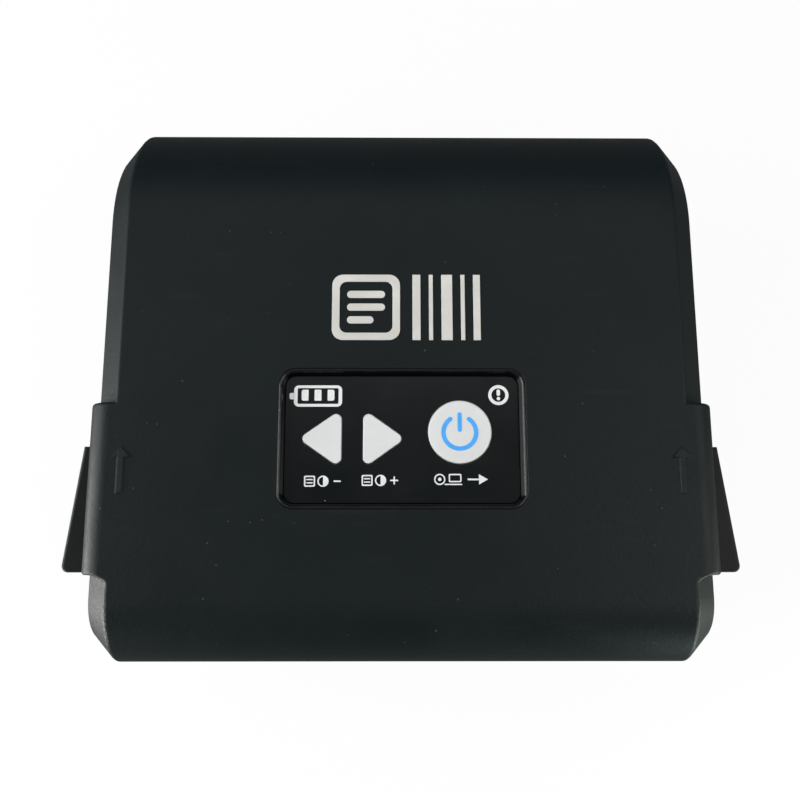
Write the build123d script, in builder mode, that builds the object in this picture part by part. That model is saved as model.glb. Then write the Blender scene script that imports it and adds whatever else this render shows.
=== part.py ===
from build123d import *
import math
import os

# Portable label printer: a loaf-shaped case with a key panel, whose cover tips back over a roll bay.
# X runs to the right, Y to the back and Z up, in millimetres. The origin lies under the middle of the
# case, on the surface that the feet stand on. The print line is at the front, under the cover's edge.

os.makedirs("parts", exist_ok=True)

# Case
foot_height = 1.5
back_shoulder = 28.2
front_shoulder = 12.6
bevel_width = 4.75
bevel_drop = 5.0
wall = 2.2
floor_wall = 2.2
bottom_chamfer = 1.6
seam_gap = 0.3
edge_round = 1.0
rim_drop = 12.0
ramp_start_gap = 8.1
ramp_end_gap = 15.2
hinge_over_bay = -1.5

# Clearances
slide_gap = 0.3
part_gap = 0.2
run_gap = 0.05
mesh_backlash = 0.08
tiny = 0.01

# Hinge
knuckle_radius = 3.3
knuckle_count = 7
knuckle_gap = 0.4
hinge_end_gap = 2.45
pin_radius = 1.5
hinge_inset = 3.5
hinge_drop = 4.0

# Cover bulges and raised arrows
bulge_proud = 1.1
bulge_round = 4.4
bulge_front_reach = 0.45
bulge_back_reach = 7.1
bulge_back_corner = 1.2
bulge_front_corner = 0.8
bulge_flare_inset = 1.6
bulge_flare_depth = 2.4
bulge_end_round = 0.6
arrow_inset = 6.2
arrow_tip_inset = 1.7
arrow_length = 9.1
arrow_head_width = 4.0
arrow_head_length = 2.1
arrow_shaft_width = 1.2
arrow_raise = 0.35
arrow_root = 0.1

# Key panel
panel_setback = 28.5
bezel_width = 48.4
bezel_depth = 27.5
bezel_round = 3.2
bezel_slope = 1.1
bezel_land = 0.4
bezel_lip_round = 0.4
panel_sink = 1.6
panel_round = 2.0
ledge_width = 1.5
flange_thickness = 1.2
key_gap = 0.15
key_raise = 0.25
key_travel = 0.5
key_flange = 0.7
key_flange_thickness = 0.8
key_top_round = 0.2
power_key_share = 0.493
power_key_rise = 1.4
power_key_radius = 6.24
triangle_round = 1.1
triangle_pair_share = -0.426
triangle_pair_gap = 4.25
down_key_length = 7.65
up_key_length = 7.5
triangle_rise = 0.05
triangle_height = 9.8
board_thickness = 1.6
key_board_side_margin = 2.75
key_board_end_margin = 0.25
key_board_round = 1.0
switch_size = 6.0
switch_height = 1.8
switch_button_radius = 1.6
key_rest_gap = 0.1
battery_light_inset = 6.45
battery_light_rise = 8.6
battery_light_width = 9.3
battery_light_depth = 4.2
battery_light_round = 0.9
fault_light_inset = 3.95
fault_light_rise = 8.8
fault_light_radius = 2.03
led_width = 1.6
led_depth = 0.8
led_height = 0.8
led_room = 0.8
light_guide_wall = 0.6

# Cover inlays
inlay_size = 13.6
inlay_setback = 26.4
inlay_left_x = -7.2
inlay_right_x = 8.9
inlay_raise = 0.15
inlay_line = 1.5
inlay_round = 2.2
inlay_long_line = 7.6
inlay_short_line = 5.3
inlay_line_count = 3
bar_widths = (1.6, 0.8, 2.2, 0.8, 1.4)

# Inner liner of the cover
liner_side_room = 2.8
liner_front_room = 3.35
liner_back_room = 3.85
liner_wall = 1.4
liner_depth = 8.2
liner_boss_side_inset = 5.0
liner_boss_inset = 4.2
boss_radius = 2.6
post_radius = 3.0
post_root = 0.5
stand_height = 1.0
stand_radius = 2.0
stand_inset = 3.0

# Screws
screw_radius = 1.0
screw_head_radius = 1.9
screw_head_height = 1.2
screw_length = 6.0
board_screw_length = 4.0
screw_clearance = 0.15

# Platen
platen_radius = 5.0
platen_margin = 1.2
platen_skin_gap = 1.9
platen_setback = 2.1
shaft_radius = 2.0
bush_radius = 3.5
bush_flange_radius = 4.3
bush_flange_width = 0.8
carrier_side_gap = 1.2
carrier_thickness = 1.4
carrier_flange_depth = 4.0
carrier_flange_thickness = 1.4
carrier_liner_gap = 1.2
carrier_eye_radius = 5.2
carrier_boss_inset = 7.8
carrier_boss_drop = 3.2
clip_radius = 3.0
clip_thickness = 0.6

# Gears
gear_module = 0.5
platen_teeth = 20
idler_teeth = 44
motor_teeth = 12
gear_width = 3.0
gear_side_gap = 1.0
pressure_angle = 20.0
tip_modules = 0.75
root_modules = 1.05
stud_radius = 1.5
stud_head_radius = 2.4
platen_hub_radius = 3.0
idler_hub_radius = 3.0
motor_hub_radius = 2.0
motor_hub_width = 1.5

# Motor
motor_radius = 10.0
motor_setback = 22.0
motor_board_gap = 1.7
motor_length = 14.0
motor_shaft_radius = 1.0
motor_bore_depth = 11.2
motor_edge_round = 1.0
motor_window_radius = 3.0

# Print head
nip_gap = 0.3
head_margin = 0.7
head_front_reach = 7.0
head_thickness = 2.4
ceramic_thickness = 0.8
ceramic_inset = 1.5
pivot_radius = 1.5
pivot_barrel_radius = 2.4
pivot_setback = 8.8
head_spring_reach = 2.0
head_spring_length = 7.2
head_spring_radius = 2.0
head_spring_wire = 0.5
head_spring_turns = 4
head_spring_pitch_x = 22.0
head_spring_count = 4

# Mechanism frame
frame_sheet = 1.2
frame_side_gap = 0.2
frame_front_gap = 2.5
frame_back_gap = 1.0
frame_floor_setback = 2.2
frame_ear_reach = 6.4
frame_ear_depth = 5.6
frame_board_gap = 2.2
frame_ear_overhang = 1.5
frame_motor_rise = 8.0
seat_shoulder = 2.0

# Exit slot and tear bar
slot_side_gap = 1.2
slot_drop = 4.6
tear_bar_height = 1.9
tear_tooth_height = 0.7
tear_tooth_pitch = 1.6
tear_bar_thickness = 1.0
tear_bar_inset = 0.6

# Roll bay
bay_radius = 24.0
bay_wall = 1.6
bay_side_gap = 2.2
bay_hinge_gap = 0.8
bay_rear_drop = 4.5
bay_floor_gap = 2.4
lip_rise = 8.5
deck_drop = 1.0
deck_gap = 0.6
bay_ear_reach = 7.0
bay_ear_size = 6.0
bay_ear_drop = 5.0
bay_ear_offset = 12.0
sensor_width = 8.0
sensor_depth = 6.0
sensor_height = 5.0
sensor_x = 4.0
sensor_setback = 23.0

# Paper guides
media_width = 82.4
guide_thickness = 2.0
guide_clearance = 1.2
guide_rise = 11.0
guide_travel = 21.0
guide_arm_height = 3.2
guide_arm_gap = 2.2
guide_deck_gap = 0.4
core_radius = 5.6
core_length = 2.5
rack_module = 0.8
rack_teeth = 12
rack_height = 3.0
rack_body = 2.5
rack_overrun = 4.5
rail_width = 1.2
rail_height = 2.2
pinion_post_radius = 1.5

# Battery and boards
battery_width = 76.0
battery_depth = 40.0
battery_height = 13.6
battery_front_gap = 7.5
battery_round = 2.0
battery_gap = 0.5
battery_wall = 1.4
door_lip = 2.5
door_thickness = 1.2
door_tail = 6.0
door_screw_x = 30.0
door_post_height = 8.0
board_stand = 1.8
board_hole_inset = 4.0
controller_size = 10.0
controller_x = 8.0
driver_size = 7.0
driver_x = 24.0
chip_height = 1.2
chip_offset_y = 4.0
head_socket_width = 26.0
socket_width = 7.0
socket_depth = 5.0
socket_height = 3.0
socket_x = 26.0
capacitor_radius = 2.5
capacitor_height = 5.0
capacitor_x = 6.0
capacitor_pitch = 8.0
usb_width = 9.0
usb_height = 3.2
usb_length = 7.3
usb_recess = 0.8
usb_offset = 1.0
usb_wall = 0.4
usb_back_wall = 1.0
charge_board_rise = 8.3
charge_board_width = 11.0
charge_board_depth = 18.0

# Latch
latch_travel = 4.0
latch_setback = 15.0
tab_proud = 8.65
tab_back_proud = 5.4
tab_front_reach = 12.3
tab_back_reach = 13.5
tab_height = 11.3
tab_rim_gap = 0.5
tab_round = 1.3
tab_back_round = 3.2
tab_edge_round = 0.6
tab_wall_gap = 0.6
stem_length = 16.0
stem_height = 9.0
stem_drop = 2.0
latch_side_gap = 0.6
latch_plate_thickness = 2.4
hook_post_width = 4.0
hook_nose_height = 2.4
striker_radius = 1.5
striker_inset = 0.5
striker_rise = 4.8
striker_side_gap = 1.0
striker_wall_gap = 2.95
striker_rib_thickness = 1.6
bar_frame_gap = 1.5
bar_bay_gap = 2.4
bar_depth = 3.0
bar_drop = 24.0
bar_height = 5.0
bar_socket = 1.2
bar_margin = 2.0
arm_slant = 3.0
latch_spring_drop = 5.4
latch_spring_length = 10.0
latch_spring_radius = 2.2
latch_spring_wire = 0.5
latch_spring_turns = 5
latch_rib_thickness = 1.6
latch_rib_margin = 1.0
latch_peg_radius = 1.2
latch_peg_length = 1.5

# Feet
foot_radius = 5.0
foot_recess = 0.8
foot_door_gap = 2.0
foot_inset = 12.7

# Places across the width, from the labels outwards
guide_inner_x = media_width / 2
guide_outer_x = guide_inner_x + guide_thickness
platen_length = media_width - 2 * platen_margin
head_width = media_width - 2 * head_margin
slot_half_width = guide_inner_x + slot_side_gap
deck_half_width = guide_inner_x - part_gap
frame_inner_x = guide_inner_x + frame_side_gap
frame_x = frame_inner_x + frame_sheet
carrier_x = frame_x + carrier_side_gap
carrier_outer_x = carrier_x + carrier_thickness
gear_inner_x = carrier_outer_x + gear_side_gap
gear_outer_x = gear_inner_x + gear_width
latch_plate_inner_x = gear_outer_x + part_gap + clip_thickness + latch_side_gap
latch_plate_outer_x = latch_plate_inner_x + latch_plate_thickness
latch_plate_x = latch_plate_inner_x + latch_plate_thickness / 2
striker_rib_x = latch_plate_outer_x + striker_side_gap
wall_x = striker_rib_x + striker_rib_thickness + striker_wall_gap
half_width = wall_x + wall
bay_half_width = guide_outer_x + bay_side_gap + bay_wall
liner_width = media_width + 2 * liner_side_room
liner_boss_x = liner_width / 2 - liner_boss_side_inset
carrier_boss_x = carrier_x - carrier_boss_inset
screw_x_frame = frame_x + frame_ear_reach / 2
bulge_x = half_width + bulge_proud
tab_x = half_width + tab_proud
tab_back_x = half_width + tab_back_proud
arrow_x = half_width - arrow_inset
bevel_edge_places = (-half_width, bevel_width - half_width, half_width - bevel_width, half_width)
window_x = bezel_width / 2 - bezel_slope
power_key_x = power_key_share * window_x
triangle_pair_length = down_key_length + triangle_pair_gap + up_key_length
down_key_tip_x = triangle_pair_share * window_x - triangle_pair_length / 2
down_key_base_x = down_key_tip_x + down_key_length
up_key_base_x = down_key_base_x + triangle_pair_gap
up_key_tip_x = up_key_base_x + up_key_length
battery_light_x = battery_light_inset - window_x
fault_light_x = window_x - fault_light_inset

# Places along the depth, from the print line to the back and then centred
front_to_platen = front_shoulder + platen_setback
platen_to_bar = motor_setback + motor_radius + frame_back_gap + bar_frame_gap
bar_to_bay = bar_depth + latch_travel + bar_bay_gap
bay_to_back = 2 * (bay_radius + bay_wall) + bay_hinge_gap + knuckle_radius + hinge_inset
half_depth = (front_to_platen + platen_to_bar + bar_to_bay + bay_to_back) / 2
platen_y = front_to_platen - half_depth
motor_y = platen_y + motor_setback
frame_back_y = motor_y + motor_radius + frame_back_gap
bar_front_y = frame_back_y + bar_frame_gap
bay_front_y = bar_front_y + bar_to_bay
bay_y = bay_front_y + bay_wall + bay_radius
hinge_y = half_depth - hinge_inset
pivot_y = platen_y + pivot_setback
head_front_y = platen_y - head_front_reach
head_spring_y = platen_y - head_spring_reach
frame_front_y = -half_depth + wall + frame_front_gap
frame_floor_back_y = pivot_y + frame_floor_setback
frame_ear_front_y = frame_front_y + frame_ear_depth / 2 - frame_ear_overhang
frame_ear_back_y = frame_back_y - frame_ear_depth / 2
deck_front_y = pivot_y + pivot_barrel_radius + deck_gap
guide_arm_front_y = deck_front_y + guide_arm_gap
sensor_y = platen_y + sensor_setback
latch_y = platen_y + latch_setback
stem_front_y = latch_y - stem_length / 2
stem_back_y = latch_y + stem_length / 2
striker_y = stem_front_y + striker_inset
tab_front_y = latch_y - tab_front_reach
tab_back_y = latch_y + tab_back_reach
bulge_front_y = tab_front_y - bulge_front_reach
bulge_back_y = tab_back_y + bulge_back_reach
arrow_back_y = tab_back_y - arrow_tip_inset
ramp_start_y = bay_front_y + ramp_start_gap
ramp_end_y = hinge_y - ramp_end_gap
panel_y = platen_y + panel_setback
power_key_y = panel_y + power_key_rise
triangle_y = panel_y + triangle_rise
battery_light_y = panel_y + battery_light_rise
fault_light_y = panel_y + fault_light_rise
inlay_y = panel_y + inlay_setback
key_board_width = bezel_width + 2 * key_board_side_margin
key_board_depth = bezel_depth + 2 * key_board_end_margin
liner_front_y = panel_y - key_board_depth / 2 - liner_front_room
liner_back_y = panel_y + key_board_depth / 2 + liner_back_room
carrier_back_y = liner_front_y - carrier_liner_gap
battery_y = -half_depth + wall + battery_front_gap + battery_depth / 2
usb_y = battery_y + usb_offset
foot_y = half_depth - foot_inset

# Heights, from the floor through battery, board and drive up to the cover
floor_top = foot_height + floor_wall
rack_z = floor_top + slide_gap
battery_z = floor_top + part_gap
battery_ceiling_z = battery_z + battery_height + battery_gap
board_z = battery_ceiling_z + battery_wall + board_stand
board_top = board_z + board_thickness
frame_low_z = board_top + frame_board_gap
motor_z = board_top + motor_board_gap + motor_radius
platen_pitch = gear_module * platen_teeth / 2
idler_pitch = gear_module * idler_teeth / 2
motor_pitch = gear_module * motor_teeth / 2
rack_pitch = rack_module * rack_teeth / 2
motor_distance = platen_pitch + 2 * idler_pitch + motor_pitch
platen_z = motor_z + math.sqrt(motor_distance**2 - motor_setback**2)
skin_z = platen_z + platen_radius + platen_skin_gap
body_top = skin_z + wall
rim_z = body_top - rim_drop
head_top_z = platen_z - platen_radius - nip_gap
sink_top_z = head_top_z - ceramic_thickness
sink_bottom_z = sink_top_z - head_thickness
pivot_z = sink_top_z - pivot_barrel_radius
frame_floor_z = sink_bottom_z - head_spring_length - frame_sheet
slot_floor_z = head_top_z - slot_drop
bay_z = rack_z + rack_height + bay_floor_gap + bay_wall + bay_radius
bay_ear_z = bay_z - bay_ear_drop
guide_top_z = bay_z + guide_rise
lip_z = bay_z + lip_rise
hinge_z = bay_z + hinge_over_bay
back_rim_z = hinge_z
deck_front_z = head_top_z - deck_drop
panel_z = body_top - panel_sink
liner_bottom_z = skin_z - liner_depth
liner_floor_z = liner_bottom_z + liner_wall
key_board_z = liner_floor_z + stand_height
key_board_top = key_board_z + board_thickness
key_flange_top = skin_z - key_rest_gap
key_foot_z = key_flange_top - key_flange_thickness
charge_board_z = floor_top + charge_board_rise
usb_z = charge_board_z + board_thickness
tab_top_z = rim_z - tab_rim_gap
tab_bottom_z = tab_top_z - tab_height
stem_top_z = rim_z - stem_drop
stem_bottom_z = stem_top_z - stem_height
striker_z = rim_z + striker_rise
latch_spring_z = rim_z - latch_spring_drop
bar_bottom_z = rim_z - bar_drop

# The motor's axis lies on the line from the platen through the idler
train_angle = math.degrees(math.atan2(platen_z - motor_z, platen_y - motor_y))
idler_y = platen_y - (platen_pitch + idler_pitch) * math.cos(math.radians(train_angle))
idler_z = platen_z - (platen_pitch + idler_pitch) * math.sin(math.radians(train_angle))


def write(piece, name):
    """Labels a finished piece and writes it under its node's name"""
    piece.part.label = name
    export_step(piece.part, f"parts/{name}.step")


def deck_z(y):
    """Height of the paper deck's top face at a depth y"""
    share = (y - bay_front_y) / (deck_front_y - bay_front_y)
    return lip_z + share * (deck_front_z - lip_z)


def bevel_edges(block, bottom, x):
    """The bevel's edges at a width x and above a bottom height"""
    edges = block.edges().filter_by(lambda edge: abs(edge.center().X - x) < tiny)
    return edges.filter_by(lambda edge: edge.center().Z > bottom + tiny)


def loaf(inset, bottom):
    """The case's whole block, pulled in by an inset all round, down to a bottom height"""
    back = half_depth - inset
    top = body_top - inset
    back_round = back_shoulder - inset
    front_round = front_shoulder - inset
    slant = math.hypot(bevel_width, bevel_drop)
    drop = bevel_drop - inset * (1 + (bevel_drop - slant) / bevel_width)
    width = bevel_width - inset * (1 + (bevel_width - slant) / bevel_drop)
    with BuildPart() as block:
        with BuildSketch(Plane.YZ):
            with BuildLine():
                Polyline((back, top - back_round), (back, bottom), (-back, bottom))
                Line((-back, bottom), (-back, top - front_round))
                RadiusArc((-back, top - front_round), (front_round - back, top), front_round)
                Line((front_round - back, top), (back - back_round, top))
                RadiusArc((back - back_round, top), (back, top - back_round), back_round)
            make_face()
        extrude(amount=half_width - inset, both=True)
        for side in (Axis.X, -Axis.X):
            face = block.faces().sort_by(side)[-1]
            edges = face.edges().filter_by(lambda edge: edge.center().Z > bottom + tiny)
            chamfer(edges, length=drop, length2=width, reference=face)
    return block.part


def above_seam(drop):
    """Everything over the seam line, which is lowered by a drop"""
    far = 4 * half_depth
    with BuildPart() as zone:
        with BuildSketch(Plane.YZ):
            with BuildLine():
                Polyline(
                    (-far, rim_z - drop),
                    (ramp_start_y, rim_z - drop),
                    (ramp_end_y, back_rim_z - drop),
                    (far, back_rim_z - drop),
                    (far, far),
                    (-far, far),
                    close=True,
                )
            make_face()
        extrude(amount=2 * half_width, both=True)
    return zone.part


def polar(radius, angle):
    """Point of a flat outline at a radius and an angle in degrees"""
    return (radius * math.cos(math.radians(angle)), radius * math.sin(math.radians(angle)))


def gear_outline(module, teeth, phase):
    """Involute outline as a flat sketch, with a tooth in the middle at the phase angle"""
    pitch = module * teeth / 2
    base = pitch * math.cos(math.radians(pressure_angle))
    tip = pitch + tip_modules * module
    root = pitch - root_modules * module
    start = max(base, root)

    def half_tooth(radius):
        roll = math.sqrt(max((radius / base) ** 2 - 1, 0))
        start_roll = math.tan(math.radians(pressure_angle))
        spread = (start_roll - math.atan(start_roll)) - (roll - math.atan(roll))
        return 90 / teeth + math.degrees(spread - mesh_backlash / (4 * pitch))

    low, middle, high = half_tooth(start), half_tooth((start + tip) / 2), half_tooth(tip)
    centre = (start + tip) / 2
    with BuildSketch() as outline:
        with BuildLine():
            for tooth in range(teeth):
                angle = phase + tooth * 360 / teeth
                if start > root:
                    Line(polar(root, angle - low), polar(start, angle - low))
                    Line(polar(start, angle + low), polar(root, angle + low))
                rise = [polar(start, angle - low), polar(centre, angle - middle), polar(tip, angle - high)]
                fall = [polar(tip, angle + high), polar(centre, angle + middle), polar(start, angle + low)]
                ThreePointArc(*rise)
                Line(rise[-1], fall[0])
                ThreePointArc(*fall)
                Line(polar(root, angle + low), polar(root, angle + 360 / teeth - low))
        make_face()
    return outline.sketch


def spur_gear(module, teeth, phase, place, width, bore, hub_radius, hub_width):
    """A spur gear on a plane, thick along the plane's normal, with a hub behind it"""
    outline = gear_outline(module, teeth, phase)
    with BuildPart() as gear:
        with BuildSketch(place):
            add(outline)
        extrude(amount=width)
        with BuildSketch(place):
            Circle(hub_radius)
        extrude(amount=width + hub_width)
        with BuildSketch(place):
            Circle(bore)
        extrude(amount=width + hub_width, mode=Mode.SUBTRACT)
    return gear


def coil(length, radius, wire, turns, place):
    """A compression spring of half-turn arcs with flat ends, standing on a plane"""
    pitch = (length - wire) / turns
    with BuildPart() as spring:
        with BuildLine(place) as path:
            for half in range(2 * turns):
                side = 1 if half % 2 == 0 else -1
                low = wire / 2 + half * pitch / 2
                ThreePointArc(
                    (side * radius, 0, low),
                    (0, side * radius, low + pitch / 4),
                    (-side * radius, 0, low + pitch / 2),
                )
        with BuildSketch(Plane(path.line @ 0, x_dir=place.x_dir, z_dir=place.y_dir)):
            Circle(wire / 2)
        sweep(path=path.line)
    return spring.part


def screws(points, length, downward):
    """A group of equal pan-head screws, each with its head's underside at a point"""
    turn = 180 if downward else 0
    with BuildPart() as group:
        for x, y, z in points:
            seat = Plane((x, y, z)).rotated((turn, 0, 0))
            with BuildSketch(seat):
                Circle(screw_radius)
            extrude(amount=length)
            with BuildSketch(seat):
                Circle(screw_head_radius)
            extrude(amount=-screw_head_height)
            with BuildSketch(seat.offset(-screw_head_height)):
                Rectangle(screw_head_radius, screw_head_radius / 4)
                Rectangle(screw_head_radius / 4, screw_head_radius)
            extrude(amount=screw_head_height / 2, mode=Mode.SUBTRACT)
    return group


def pilots(points, length, downward):
    """The holes that the screws' threads cut into, to take away from a boss"""
    turn = 180 if downward else 0
    with BuildPart() as group:
        for x, y, z in points:
            with BuildSketch(Plane((x, y, z)).rotated((turn, 0, 0))):
                Circle(screw_radius)
            extrude(amount=length)
    return group.part


def key_triangle(tip_x, base_x, grow):
    """Three-cornered key outline as a flat sketch: its corners' centres, grown by corners and margin"""
    inward = math.copysign(triangle_round, base_x - tip_x)
    half_height = triangle_height / 2 - triangle_round
    with BuildSketch() as outline:
        with BuildLine():
            Polyline(
                (tip_x + inward, triangle_y),
                (base_x - inward, triangle_y + half_height),
                (base_x - inward, triangle_y - half_height),
                close=True,
            )
        make_face()
        offset(amount=triangle_round + grow)
    return outline.sketch


def key_circle(grow):
    """Round power key outline as a flat sketch, grown by a margin"""
    with BuildSketch() as outline:
        with Locations((power_key_x, power_key_y)):
            Circle(power_key_radius + grow)
    return outline.sketch


liner_screw_points = [
    (x, y, liner_bottom_z)
    for x in (-liner_boss_x, liner_boss_x)
    for y in (liner_front_y + liner_boss_inset, liner_back_y - liner_boss_inset)
]
carrier_screw_y = carrier_back_y - carrier_flange_depth / 2
carrier_flange_z = skin_z - carrier_boss_drop
carrier_screw_z = carrier_flange_z - carrier_flange_thickness
carrier_screw_points = [(x, carrier_screw_y, carrier_screw_z) for x in (-carrier_boss_x, carrier_boss_x)]
door_width = battery_width + 2 * battery_gap + 2 * door_lip
door_depth = battery_depth + 2 * battery_gap + 2 * door_lip + door_tail
door_y = battery_y + door_tail / 2
door_screw_y = door_y + door_depth / 2 - door_tail / 2
door_screw_points = [(x, door_screw_y, foot_height) for x in (-door_screw_x, door_screw_x)]
door_post_tops = [(x, y, z + door_post_height) for x, y, z in door_screw_points]
charge_board_x = wall_x - part_gap - charge_board_width / 2
charge_screw_reach = charge_board_depth / 2 - screw_head_radius
charge_screw_points = [
    (charge_board_x, usb_y + side * charge_screw_reach, charge_board_z + board_thickness) for side in (-1, 1)
]
board_screw_x = battery_width / 2 - board_hole_inset
board_screw_reach = battery_depth / 2 - board_hole_inset
board_screw_points = [
    (x, battery_y + y * board_screw_reach, board_top)
    for x in (-board_screw_x, board_screw_x)
    for y in (-1, 1)
]
frame_screw_points = [
    (x * screw_x_frame, y, z + frame_sheet)
    for x in (-1, 1)
    for y, z in ((frame_ear_front_y, frame_floor_z), (frame_ear_back_y, frame_low_z))
]
bay_screw_points = [
    (x * (bay_half_width + bay_ear_reach / 2), bay_y + y * bay_ear_offset, bay_ear_z + bay_wall)
    for x in (-1, 1)
    for y in (-1, 1)
]
knuckle_pitch = 2 * (wall_x - hinge_end_gap) / knuckle_count
knuckle_width = knuckle_pitch - knuckle_gap
hinge_start_x = (knuckle_gap - knuckle_count * knuckle_pitch) / 2
hinge_starts = [hinge_start_x + index * knuckle_pitch for index in range(knuckle_count)]
lid_starts = hinge_starts[0::2]
base_starts = hinge_starts[1::2]
foot_x = door_width / 2 + foot_door_gap + foot_radius
foot_places = [(x, y) for x in (-foot_x, foot_x) for y in (-foot_y, foot_y)]


def bulge():
    """The right side's bulge: a quarter-round rail whose front end flares out of the bevel's top edge"""
    start_x = bulge_x - 2 * bulge_round
    crest_z = body_top - bulge_round
    back_x = bulge_x - bulge_back_corner
    back_y = bulge_back_y - bulge_back_corner
    front_x = bulge_x - bulge_front_corner
    front_y = bulge_front_y + bulge_front_corner
    flare_x = bulge_x - bulge_flare_inset
    flare_width = flare_x - half_width + bevel_width
    flare_y = bulge_front_y - bulge_flare_depth
    with BuildPart() as rail:
        with BuildSketch(Plane.XZ):
            with BuildLine():
                Polyline((bulge_x, crest_z), (bulge_x, rim_z), (start_x, rim_z))
                Polyline((start_x, rim_z), (start_x, body_top), (bulge_x - bulge_round, body_top))
                RadiusArc((bulge_x - bulge_round, body_top), (bulge_x, crest_z), bulge_round)
            make_face()
        extrude(amount=half_depth, both=True)
        with BuildSketch():
            with BuildLine():
                Polyline((flare_x - flare_width, flare_y), (start_x, flare_y), (start_x, bulge_back_y))
                Line((start_x, bulge_back_y), (back_x, bulge_back_y))
                RadiusArc((back_x, bulge_back_y), (bulge_x, back_y), bulge_back_corner)
                Line((bulge_x, back_y), (bulge_x, front_y))
                RadiusArc((bulge_x, front_y), (front_x, bulge_front_y), bulge_front_corner)
                Line((front_x, bulge_front_y), (flare_x, bulge_front_y))
                EllipticalCenterArc((flare_x, flare_y), flare_width, bulge_flare_depth, 90, arc_size=90)
            make_face()
        extrude(amount=2 * body_top, mode=Mode.INTERSECT)
        for in_end in (lambda y: y < front_y, lambda y: y > back_y):
            upper = rail.edges().filter_by(lambda edge: edge.bounding_box().min.Z > crest_z - tiny)
            fillet(upper.filter_by(lambda edge: in_end(edge.center().Y)), bulge_end_round)
    return rail.part


def arrow():
    """Raised arrow beside the right bulge, which points to the back and sinks towards the bulge"""
    neck_y = arrow_back_y - arrow_head_length
    slant = math.degrees(math.atan(arrow_raise / arrow_head_width))
    with BuildPart() as mark:
        with BuildSketch(Plane.XY.offset(body_top - arrow_root)):
            with BuildLine():
                Polyline(
                    (arrow_x, arrow_back_y),
                    (arrow_x + arrow_head_width / 2, neck_y),
                    (arrow_x + arrow_shaft_width / 2, neck_y),
                    (arrow_x + arrow_shaft_width / 2, arrow_back_y - arrow_length),
                    (arrow_x - arrow_shaft_width / 2, arrow_back_y - arrow_length),
                    (arrow_x - arrow_shaft_width / 2, neck_y),
                    (arrow_x - arrow_head_width / 2, neck_y),
                    close=True,
                )
            make_face()
        extrude(amount=arrow_root + arrow_raise)
        outer_edge = (arrow_x + arrow_head_width / 2, arrow_back_y, body_top)
        split(bisect_by=Plane(outer_edge).rotated((0, slant, 0)), keep=Keep.BOTTOM)
    return mark.part


def cover_shell():
    """Cover: the loaf over the seam, with bulges, arrows, panel window, bosses and hinge knuckles"""
    right_bulge = bulge()
    right_arrow = arrow()
    inside = loaf(wall, foot_height)
    pocket_x = bulge_x - wall
    bosses = [(x, y, liner_floor_z) for x, y, z in liner_screw_points]
    bosses += [(x, y, carrier_flange_z) for x, y, z in carrier_screw_points]
    with BuildPart() as shell:
        add(loaf(0, foot_height))
        for x in bevel_edge_places:
            fillet(bevel_edges(shell, foot_height, x), edge_round)
        add(above_seam(0), mode=Mode.INTERSECT)
        add(right_bulge)
        add(right_bulge.mirror(Plane.YZ))
        add(inside, mode=Mode.SUBTRACT)
        for side in (-1, 1):
            with BuildSketch(Plane.XY.offset(rim_z)):
                with Locations((side * (pocket_x - wall), (bulge_front_y + bulge_back_y) / 2)):
                    Rectangle(2 * wall, bulge_back_y - bulge_front_y - 2 * wall)
            extrude(amount=rim_drop - bulge_round - wall / 2, mode=Mode.SUBTRACT)
        add(right_arrow)
        add(right_arrow.mirror(Plane.YZ))
        with BuildSketch(Plane.XY.offset(skin_z)):
            with Locations((0, panel_y)):
                RectangleRounded(bezel_width + part_gap, bezel_depth + part_gap, bezel_round + part_gap / 2)
        extrude(amount=wall, mode=Mode.SUBTRACT)
        for x, y, z in bosses:
            with BuildSketch(Plane((x, y, z))):
                Circle(boss_radius)
            extrude(amount=skin_z - z)
        for side in (-1, 1):
            with BuildSketch(Plane.YZ.offset(side * striker_rib_x)):
                with Locations((striker_y, (striker_z - 2 * striker_radius + body_top - wall / 2) / 2)):
                    Rectangle(4 * striker_radius, body_top - wall / 2 - striker_z + 2 * striker_radius)
            extrude(amount=side * striker_rib_thickness)
            with BuildSketch(Plane.YZ.offset(side * striker_rib_x)):
                with Locations((striker_y, striker_z)):
                    Circle(striker_radius)
            extrude(amount=side * striker_rib_thickness, mode=Mode.SUBTRACT)
        for start in lid_starts:
            with BuildSketch(Plane.YZ.offset(start)):
                with Locations((hinge_y, hinge_z)):
                    Circle(knuckle_radius)
                with Locations((hinge_y + knuckle_radius / 2, hinge_z + knuckle_radius / 2)):
                    Rectangle(knuckle_radius, knuckle_radius)
            extrude(amount=knuckle_width)
            with BuildSketch(Plane.YZ.offset(start)):
                with Locations((hinge_y, hinge_z)):
                    Circle(pin_radius + run_gap)
            extrude(amount=knuckle_width, mode=Mode.SUBTRACT)
        for start in base_starts:
            with BuildSketch(Plane.YZ.offset(start - knuckle_gap)):
                with Locations((hinge_y, hinge_z)):
                    Circle(knuckle_radius + slide_gap)
            extrude(amount=knuckle_width + 2 * knuckle_gap, mode=Mode.SUBTRACT)
        add(pilots(liner_screw_points, screw_length, False), mode=Mode.SUBTRACT)
        add(pilots(carrier_screw_points, board_screw_length, False), mode=Mode.SUBTRACT)
    return shell


def base_posts(group):
    """Posts from the base's floor up to the points of a group"""
    with BuildPart() as posts:
        for x, y, z in group:
            with BuildSketch(Plane.XY.offset(floor_top - post_root)):
                with Locations((x, y)):
                    Circle(post_radius)
            extrude(amount=z - floor_top + post_root)
    return posts.part


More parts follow.
